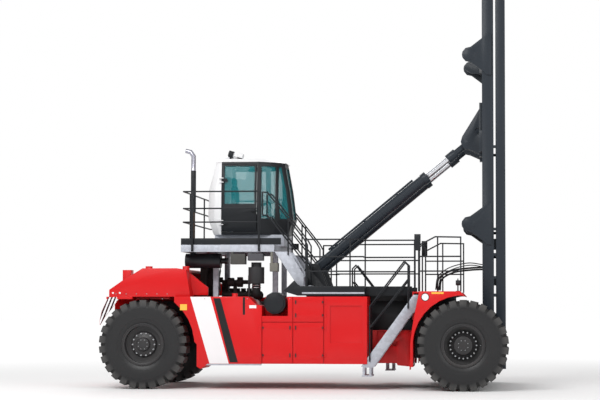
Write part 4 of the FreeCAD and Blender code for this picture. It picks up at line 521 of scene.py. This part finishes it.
def make_piece(name, mesh_maker, finish, body, smooth=None):
    """Builds a mesh with mesh_maker(bm), gives it a finish and puts it on a body."""
    mesh = bpy.data.meshes.new(name)
    bm = bmesh.new()
    mesh_maker(bm)
    bmesh.ops.recalc_face_normals(bm, faces=bm.faces)
    bm.to_mesh(mesh)
    bm.free()
    if smooth:
        for face in mesh.polygons:
            face.use_smooth = True
        mesh.set_sharp_from_angle(angle=math.radians(smooth))
    piece = bpy.data.objects.new(name, mesh)
    bpy.context.scene.collection.objects.link(piece)
    mesh.materials.append(finish)
    if body:
        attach(piece, body)
    return piece


def add_prism(bm, outline, thickness):
    """A flat outline of 3-D points, made thick along the vector thickness."""
    low = [bm.verts.new(p) for p in outline]
    high = [bm.verts.new(Vector(p) + Vector(thickness)) for p in outline]
    bm.faces.new(low)
    bm.faces.new(reversed(high))
    count = len(outline)
    for i in range(count):
        bm.faces.new((low[i], low[(i + 1) % count], high[(i + 1) % count], high[i]))


def add_block(bm, x, y, z, bevel=0.004):
    """A block between two values on each axis, with its long edges cut off."""
    (x0, x1), (y0, y1), (z0, z1) = x, y, z
    b = min(bevel, (x1 - x0) / 3, (z1 - z0) / 3)
    outline = [(x0 + b, z0), (x1 - b, z0), (x1, z0 + b), (x1, z1 - b),
               (x1 - b, z1), (x0 + b, z1), (x0, z1 - b), (x0, z0 + b)]
    add_prism(bm, [(px, y0, pz) for px, pz in outline], (0, y1 - y0, 0))


def ring_points(centre, axis, radius, sides):
    axis = Vector(axis).normalized()
    across = axis.orthogonal().normalized()
    other = axis.cross(across)
    return [Vector(centre) + radius * (math.cos(a) * across + math.sin(a) * other)
            for a in (2 * math.pi * i / sides for i in range(sides))]


def add_rings(bm, rings):
    """A closed skin over rings of points, with both ends filled."""
    rows = [[bm.verts.new(p) for p in ring] for ring in rings]
    count = len(rows[0])
    for low, high in zip(rows, rows[1:]):
        for i in range(count):
            j = (i + 1) % count
            bm.faces.new((low[i], low[j], high[j], high[i]))
    bm.faces.new(reversed(rows[0]))
    bm.faces.new(rows[-1])


def add_rod(bm, start, stop, radius, sides=12, edge=0.15):
    """A round rod between two points, with slightly rounded ends."""
    start, stop = Vector(start), Vector(stop)
    axis = (stop - start).normalized()
    cut = min(radius * edge, (stop - start).length / 3)
    add_rings(bm, [ring_points(start, axis, radius - cut, sides),
                   ring_points(start + axis * cut, axis, radius, sides),
                   ring_points(stop - axis * cut, axis, radius, sides),
                   ring_points(stop, axis, radius - cut, sides)])


def smooth_path(points, steps=8):
    """Points along a soft curve that passes near each of points and keeps both ends."""
    points = [Vector(p) for p in points]
    ends = [2 * points[0] - points[1]] + points + [2 * points[-1] - points[-2]]
    path = []
    for a, b, c, d in zip(ends, ends[1:], ends[2:], ends[3:]):
        for i in range(steps):
            t = i / steps
            path.append(0.5 * (2 * b + (c - a) * t + (2 * a - 5 * b + 4 * c - d) * t * t
                               + (3 * b - a - 3 * c + d) * t * t * t))
    path.append(points[-1])
    return path


def add_hose(bm, points, radius, sides=10, steps=8, pleats=0.0):
    """A round hose along a soft curve; pleats makes it corrugated."""
    path = smooth_path(points, steps)
    axis = (path[1] - path[0]).normalized()
    across = axis.orthogonal().normalized()
    rings = []
    for i, place in enumerate(path):
        ahead = (path[min(i + 1, len(path) - 1)] - path[max(i - 1, 0)]).normalized()
        across = (across - ahead * across.dot(ahead)).normalized()
        other = ahead.cross(across)
        size = radius * (1 + (pleats if i % 2 else -pleats))
        rings.append([place + size * (math.cos(a) * across + math.sin(a) * other)
                      for a in (2 * math.pi * k / sides for k in range(sides))])
    add_rings(bm, rings)


def add_ring(bm, centre, axis, radius, thick, segments=48, sides=10):
    """A round bar bent into a closed ring."""
    centre, axis = Vector(centre), Vector(axis).normalized()
    across = axis.orthogonal().normalized()
    other = axis.cross(across)
    rows = []
    for i in range(segments):
        a = 2 * math.pi * i / segments
        out = math.cos(a) * across + math.sin(a) * other
        rows.append([bm.verts.new(centre + out * (radius + thick * math.cos(b)) + axis * thick * math.sin(b))
                     for b in (2 * math.pi * k / sides for k in range(sides))])
    for i in range(segments):
        near, far = rows[i], rows[(i + 1) % segments]
        for k in range(sides):
            j = (k + 1) % sides
            bm.faces.new((near[k], near[j], far[j], far[k]))


def add_cushion(bm, centre, half, lean=0.0, square=0.42, rows=16, columns=40):
    """A soft block with crowned faces, leaned back by an angle about Y, with a seam round its edge."""
    def soft(value):
        return math.copysign(abs(value) ** square, value)

    def place(x, y, z):
        c, s = math.cos(lean), math.sin(lean)
        return Vector((centre[0] + x * c - z * s, centre[1] + y, centre[2] + x * s + z * c))

    rings = []
    for i in range(rows + 1):
        up = math.pi * (i / rows - 0.5)
        level = max(math.cos(up), 0.02)
        turns = [2 * math.pi * k / columns for k in range(columns)]
        rings.append([place(half[0] * soft(level) * soft(math.cos(a)),
                            half[1] * soft(level) * soft(math.sin(a)),
                            half[2] * soft(math.sin(up))) for a in turns])
    add_rings(bm, rings)
    seam = [place(half[0] * 1.01 * soft(math.cos(a)), half[1] * 1.01 * soft(math.sin(a)), 0)
            for a in (2 * math.pi * k / 60 for k in range(61))]
    add_hose(bm, seam, 0.006, 6, 1)


def slant(low, high):
    """The parallelogram of (x, z) corners between two level edges (x0, x1, z)."""
    return [(low[0], low[2]), (low[1], low[2]), (high[1], high[2]), (high[0], high[2])]


def lay_film(name, outline, finish, y, body, thickness=FILM):
    """A thin film of (x, z) corners on a side face at y, outwards from it."""
    out = math.copysign(thickness, y)

    def film(bm):
        add_prism(bm, [(x, y + out * 0.2, z) for x, z in outline], (0, out, 0))
    return make_piece(name, film, finish, body)


# Bands, signs and reflectors

def side_films():
    """The bands, blank plates and reflectors that both sides of the body carry."""
    white = slant((-3.312, -2.905, 0.548), (-3.727, -3.299, 1.947))
    black = slant((-2.883, -2.711, 0.575), (-3.235, -3.086, 1.917))
    tail = -5.70
    corner = [(tail + x, z) for x, z in (
        (0.370, 1.94), (0.185, 1.94), (0.045, 1.64), (0.006, 1.44), (0.006, 1.352),
        (0.015, 1.352), (0.110, 1.522), (0.250, 1.692), (0.370, 1.852))]
    for side, word in SIDES:
        y = side * SIDE_Y
        lay_film("white_band_" + word, white, BAND_WHITE, y, "chassis")
        lay_film("black_band_" + word, black, BAND_BLACK, y, "chassis")
        lay_film("corner_stripes_" + word, corner, HAZARD, side * 1.600, "chassis")
        lay_film("tank_reflector_" + word, slant((-3.942, -3.795, 1.665), (-3.942, -3.795, 1.79)), AMBER, y,
                 "chassis", 0.008)
        lay_film("fender_reflector_" + word, slant((1.355, 1.605, 2.002), (1.355, 1.605, 2.038)), AMBER,
                 side * FENDER_Y, "chassis", 0.004)
        lay_film("edge_strip_" + word, slant((-2.612, -2.564, 1.57), (-2.612, -2.564, 1.94)), BAND_BLACK, y,
                 "chassis")


def add_disc(bm, x, z, y, radius, thickness, sides=40):
    add_prism(bm, [(x + radius * math.cos(a), y, z + radius * math.sin(a))
                   for a in (2 * math.pi * i / sides for i in range(sides))], (0, thickness, 0))


SIGN_X, SIGN_Z = 1.225, 1.936
SIGN_THICK = 0.002
side_films()
for side, word in SIDES:
    def sign_edge(bm):
        add_disc(bm, SIGN_X, SIGN_Z, side * FENDER_Y, 0.083, side * SIGN_THICK)

    def sign_face(bm):
        add_disc(bm, SIGN_X, SIGN_Z, side * (FENDER_Y + SIGN_THICK), 0.070, side * SIGN_THICK)

    make_piece("sign_edge_" + word, sign_edge, BAND_BLACK, "chassis")
    make_piece("sign_face_" + word, sign_face, WHITE_PAINT, "chassis")

    def hood_dots(bm):
        """The two small pale plugs at the hood's rear end."""
        for x in (-5.417, -5.269):
            add_disc(bm, x, 2.03, side * 1.6, 0.02, side * 0.003, 24)
    make_piece("hood_dots_" + word, hood_dots, WHITE_PAINT, "chassis")

    def deck_edge(bm):
        """The bare steel strip under the deck's kick boards."""
        y = side * (DECK_Y + 0.0005)
        strip = slant((-1.37, -0.06, 2.008), (-1.37, -0.06, 2.042))
        add_prism(bm, [(x, y, z) for x, z in strip], (0, side * 0.003, 0))
    make_piece("deck_edge_" + word, deck_edge, GALVANISED, "chassis")

lay_film("blank_label", slant((-2.474, -2.327, 1.707), (-2.474, -2.327, 1.770)), WHITE_PAINT, -SIDE_Y,
         "chassis")


# Wheels

def add_hex(bm, x, z, y0, y1, radius, turn):
    """A hexagonal nut across the truck, with its outer edge cut back."""
    rings = []
    for y, r in ((y0, radius), (y0 + (y1 - y0) * 0.8, radius), (y1, radius * 0.86)):
        corners = [turn + math.pi * k / 3 for k in range(6)]
        rings.append([(x + r * math.cos(a), y, z + r * math.sin(a)) for a in corners])
    add_rings(bm, rings)


def wheel_fittings():
    """Wheel nuts on their studs, the bolts of the hub's end cap, the lock ring and the air valve of each
    wheel.
    """
    # columns: body, axle X, nut count, nut circle, disc |y|, cap radius, lock ring |y|
    rows = (("drive", DRIVE_X, 20, 0.275, 1.790, 0.105, 2.043),
            ("steer", STEER_X, 14, 0.235, 1.500, 0.100, 1.608))
    for body, axle_x, count, circle, face, cap, ring_y in rows:
        for side, word in SIDES:
            def nuts(bm):
                for i in range(count):
                    a = 2 * math.pi * i / count
                    x, z = axle_x + circle * math.cos(a), AXLE_Z + circle * math.sin(a)
                    add_hex(bm, x, z, side * (face - 0.004), side * (face + 0.026), 0.019, a)
                    add_rod(bm, (x, side * face, z), (x, side * (face + 0.045), z), 0.010, 8)
            make_piece(body + "_nuts_" + word, nuts, NUT_STEEL, body + "_" + word)

            def lock_ring(bm):
                add_ring(bm, (axle_x, side * ring_y, AXLE_Z), (0, 1, 0), 0.435, 0.009, 72, 8)
            make_piece(body + "_lock_ring_" + word, lock_ring, RIM_PAINT, body + "_" + word,
                       60)

            def hub_cap(bm):
                y = face + (0.085 if body == "drive" else 0.092)
                for i in range(8):
                    a = 2 * math.pi * (i + 0.5) / 8
                    x, z = axle_x + cap * math.cos(a), AXLE_Z + cap * math.sin(a)
                    add_hex(bm, x, z, side * (y - 0.006), side * (y + 0.010), 0.011, a)
            make_piece(body + "_cap_bolts_" + word, hub_cap, STEEL, body + "_" + word)

            def valve(bm):
                stem = [(axle_x + 0.36, side * (ring_y - 0.10), AXLE_Z),
                        (axle_x + 0.37, side * (ring_y - 0.02), AXLE_Z),
                        (axle_x + 0.345, side * (ring_y + 0.005), AXLE_Z + 0.01)]
                add_hose(bm, stem, 0.008, 8)
            make_piece(body + "_valve_" + word, valve, STEEL, body + "_" + word, 50)


wheel_fittings()


# Pipes and hoses

def air_elbow(bm):
    """The pleated elbow between the air cleaner and the engine."""
    route = [(-2.405, -1.25, 2.17), (-2.405, -1.25, 2.02), (-2.39, -1.20, 1.985), (-2.375, -1.05, 1.985)]
    add_hose(bm, route, 0.092, 20, 9, 0.05)


make_piece("air_elbow", air_elbow, RUBBER, "chassis", 60)


def hoop_pipe(bm):
    """The bent pipe on the fender beside the front handrail."""
    route = [(1.075, -1.70, 2.95), (1.14, -1.70, 3.01), (1.20, -1.70, 2.97), (1.215, -1.70, 2.85),
             (1.215, -1.70, 2.062)]
    add_hose(bm, route, 0.012, 10, 8)


make_piece("hoop_pipe", hoop_pipe, BLACK_PAINT, "chassis", 50)

# columns: (x, z) points of a mast hose, its |y|, its radius; the first point is on the chassis
MAST_HOSES = (
    (((1.397, 2.10), (1.455, 2.382), (1.698, 2.572), (2.086, 2.668), (2.409, 2.632)), 0.90, 0.011),
    (((1.430, 2.10), (1.475, 2.350), (1.740, 2.505), (2.120, 2.560), (2.409, 2.575)), 0.90, 0.020),
)
for number, (route, gap, radius) in enumerate(MAST_HOSES):
    for side, word in SIDES:
        points = [(x, side * gap, z) for x, z in route]
        hose = make_piece(f"mast_hose_{number}_{word}", lambda bm: add_hose(bm, points, radius, 10, 8),
                          RUBBER, None, 60)
        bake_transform(hose)


# Cab

def seat_cushions(bm):
    """The seat's cushion, its back, the head rest and two arm rests."""
    add_cushion(bm, (-2.81, 0, 3.725), (0.25, 0.26, 0.070))
    add_cushion(bm, (-3.075, 0, 4.095), (0.062, 0.245, 0.315), 0.04)
    add_cushion(bm, (-3.095, 0, 4.485), (0.045, 0.135, 0.080), 0.04)
    for side in (-1, 1):
        add_cushion(bm, (-2.81, side * 0.305, 3.88), (0.165, 0.033, 0.032))


seat = make_piece("seat_cushions", seat_cushions, SEAT_CLOTH, "chassis", 60)
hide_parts("operator_seat")


def seat_base(bm):
    """The seat's suspension column with its pleated boot, and the arm rests' brackets."""
    boot = [(-2.82, 0, z) for z in (3.37, 3.45, 3.55, 3.655)]
    add_hose(bm, boot, 0.155, 24, 5, 0.03)
    for side in (-1, 1):
        add_rod(bm, (-2.90, side * 0.285, 3.72), (-2.90, side * 0.305, 3.86), 0.014)


make_piece("seat_base", seat_base, DARK_PLASTIC, "chassis", 40)
WHEEL_AXIS = (-0.273, 0, 0.962)


def steering_wheel(bm):
    """The wheel's rim, hub and three spokes on the console's column."""
    hub = Vector((-2.365, 0, 4.02))
    add_ring(bm, hub, WHEEL_AXIS, 0.19, 0.014)
    add_rod(bm, hub - 0.02 * Vector(WHEEL_AXIS), hub + 0.02 * Vector(WHEEL_AXIS), 0.045, 20)
    for out in ring_points(hub, WHEEL_AXIS, 0.185, 3):
        add_rod(bm, hub, out, 0.010, 8)


make_piece("steering_wheel", steering_wheel, DARK_PLASTIC, "chassis", 50)


def roof_lenses(bm):
    """The lenses in front of the two roof lamps."""
    for x, y in ((-3.07, -0.26), (-2.95, 0.26)):
        add_rod(bm, (x - 0.004, y, 5.081), (x + 0.006, y, 5.078), 0.060, 32)


make_piece("roof_lenses", roof_lenses, CLEAR_LENS, "chassis", 40)


# Small fittings

def step_strips(bm):
    """The bare steel strip along the lower edge of each side tank."""
    for side in (-1, 1):
        add_block(bm, (-3.397, -2.222), sorted((side * 1.690, side * 1.744)), (0.513, 0.5447))


make_piece("step_strips", step_strips, GALVANISED, "chassis")


def neck_clamps(bm):
    """The two bright clamps round the air cleaner's neck."""
    for z in (2.145, 2.195):
        add_ring(bm, (-2.405, -1.25, z), (0, 0, 1), 0.094, 0.007, 48, 8)


make_piece("neck_clamps", neck_clamps, CHROME, "chassis", 60)


def fender_lamp(bm):
    """The small lamp on its stem behind the mast, on the right fender."""
    add_rod(bm, (1.89, -1.70, 2.0575), (1.89, -1.70, 2.070), 0.045, 24)
    add_rod(bm, (1.89, -1.70, 2.070), (1.89, -1.70, 2.200), 0.014)
    add_rod(bm, (1.845, -1.70, 2.235), (1.935, -1.70, 2.235), 0.055, 24)
    add_rod(bm, (1.89, -1.70, 2.285), (1.89, -1.70, 2.325), 0.012)


make_piece("fender_lamp", fender_lamp, DARK_PLASTIC, "chassis", 40)


def rail_feet(bm):
    """Round flanges under the deck rails' posts."""
    # columns: X and Y of a post
    posts = ((-1.29, -1.67), (-1.29, 1.67), (-0.363, -1.67), (-1.11, 1.67), (-0.09, -1.12), (-0.93, 1.12))
    for x, y in posts:
        add_rod(bm, (x, y, 2.0304), (x, y, 2.038), 0.028, 20)


make_piece("rail_feet", rail_feet, BLACK_PAINT, "chassis", 40)


def body_bolts(bm):
    """Bolt heads along the hood's lower edge and the side's upper edge, on both sides."""
    for side in (-1, 1):
        for i in range(6):
            add_hex(bm, -5.35 + 0.22 * i, 2.010, side * 1.6, side * 1.609, 0.012, 0.3 * i)
        for i in range(4):
            add_hex(bm, -4.32 + 0.9 * i, 1.905, side * SIDE_Y, side * (SIDE_Y + 0.008), 0.011, 0.4 * i)


make_piece("body_bolts", body_bolts, STEEL, "chassis")


# Camera, floor and light

# The photograph's frame is 600 by 400 picture points. A small turn and rise of the camera, in degrees, and a
# little lens shift bring the machine to its place in it.
CAMERA_DISTANCE = 31.0
NEAR_SIDE_Y = -2.085
CAMERA_TURN = 4.33
CAMERA_RISE = 2.40
FOCAL_POINTS = 1508.4
FRAME_WIDTH = 600
SHIFT_RIGHT, SHIFT_UP = -76, 42
camera_data = bpy.data.cameras.new("camera")
camera = bpy.data.objects.new("camera", camera_data)
bpy.context.scene.collection.objects.link(camera)
bpy.context.scene.camera = camera
camera.location = (2.56, NEAR_SIDE_Y - CAMERA_DISTANCE, 1.77)
camera.rotation_euler = (math.radians(90 + CAMERA_RISE), 0, math.radians(CAMERA_TURN))
camera_data.sensor_width = 36
camera_data.lens = FOCAL_POINTS / FRAME_WIDTH * camera_data.sensor_width
camera_data.shift_x = SHIFT_RIGHT / FRAME_WIDTH
camera_data.shift_y = SHIFT_UP / FRAME_WIDTH
camera_data.clip_end = 400

FLOOR_RADIUS = 140
FLOOR_Z = -0.001
ROOM_LIGHT = 0.55
BACKDROP_LIGHT = 1.0
floor_paint, floor_shader = blank_material("pale_floor", (0.93, 0.93, 0.93), 0.9, Specular_IOR_Level=0.1)
floor_shader.inputs["Emission Strength"].default_value = 1.0
fade = place_group(floor_paint, FLOOR_FADE, {"Near": (0.93, 0.93, 0.93, 1)})
floor_paint.node_tree.links.new(fade.outputs["Color"], floor_shader.inputs["Base Color"])
floor_paint.node_tree.links.new(fade.outputs["Glow"], floor_shader.inputs["Emission Color"])
floor_mesh = bpy.data.meshes.new("floor")
bm = bmesh.new()
bmesh.ops.create_circle(bm, cap_ends=True, segments=96, radius=FLOOR_RADIUS)
bm.to_mesh(floor_mesh)
bm.free()
floor = bpy.data.objects.new("floor", floor_mesh)
bpy.context.scene.collection.objects.link(floor)
floor.location = (0, 0, FLOOR_Z)
floor_mesh.materials.append(floor_paint)

world = bpy.data.worlds.new("studio")
bpy.context.scene.world = world
world.use_nodes = True
world_nodes, world_links = world.node_tree.nodes, world.node_tree.links
background = world_nodes["Background"]
background.inputs["Color"].default_value = (1, 1, 1, 1)
background.inputs["Strength"].default_value = ROOM_LIGHT
backdrop = world_nodes.new("ShaderNodeBackground")
backdrop.inputs["Color"].default_value = (1, 1, 1, 1)
backdrop.inputs["Strength"].default_value = BACKDROP_LIGHT
path = world_nodes.new("ShaderNodeLightPath")
mixer = world_nodes.new("ShaderNodeMixShader")
seen = math_node(world_nodes, world_links, "MAXIMUM", path.outputs["Is Camera Ray"],
                 path.outputs["Is Transmission Ray"])
world_links.new(seen, mixer.inputs[0])
world_links.new(background.outputs[0], mixer.inputs[1])
world_links.new(backdrop.outputs[0], mixer.inputs[2])
world_links.new(mixer.outputs[0], world_nodes["World Output"].inputs["Surface"])


def soft_box(name, place, target, size, power):
    """An area light that faces its target."""
    light = bpy.data.lights.new(name, "AREA")
    light.shape = "RECTANGLE"
    light.size, light.size_y = size
    light.energy = power
    lamp = bpy.data.objects.new(name, light)
    bpy.context.scene.collection.objects.link(lamp)
    lamp.location = place
    lamp.rotation_euler = (Vector(target) - Vector(place)).to_track_quat("-Z", "Y").to_euler()


soft_box("key_light", (-8, -16, 15), (0, 0, 2.5), (14, 8), 2600)
soft_box("fill_light", (14, -14, 9), (0, 0, 3), (10, 8), 900)
soft_box("back_light", (-4, 16, 14), (0, 0, 3), (14, 8), 1100)

bpy.context.scene.view_settings.view_transform = "Standard"
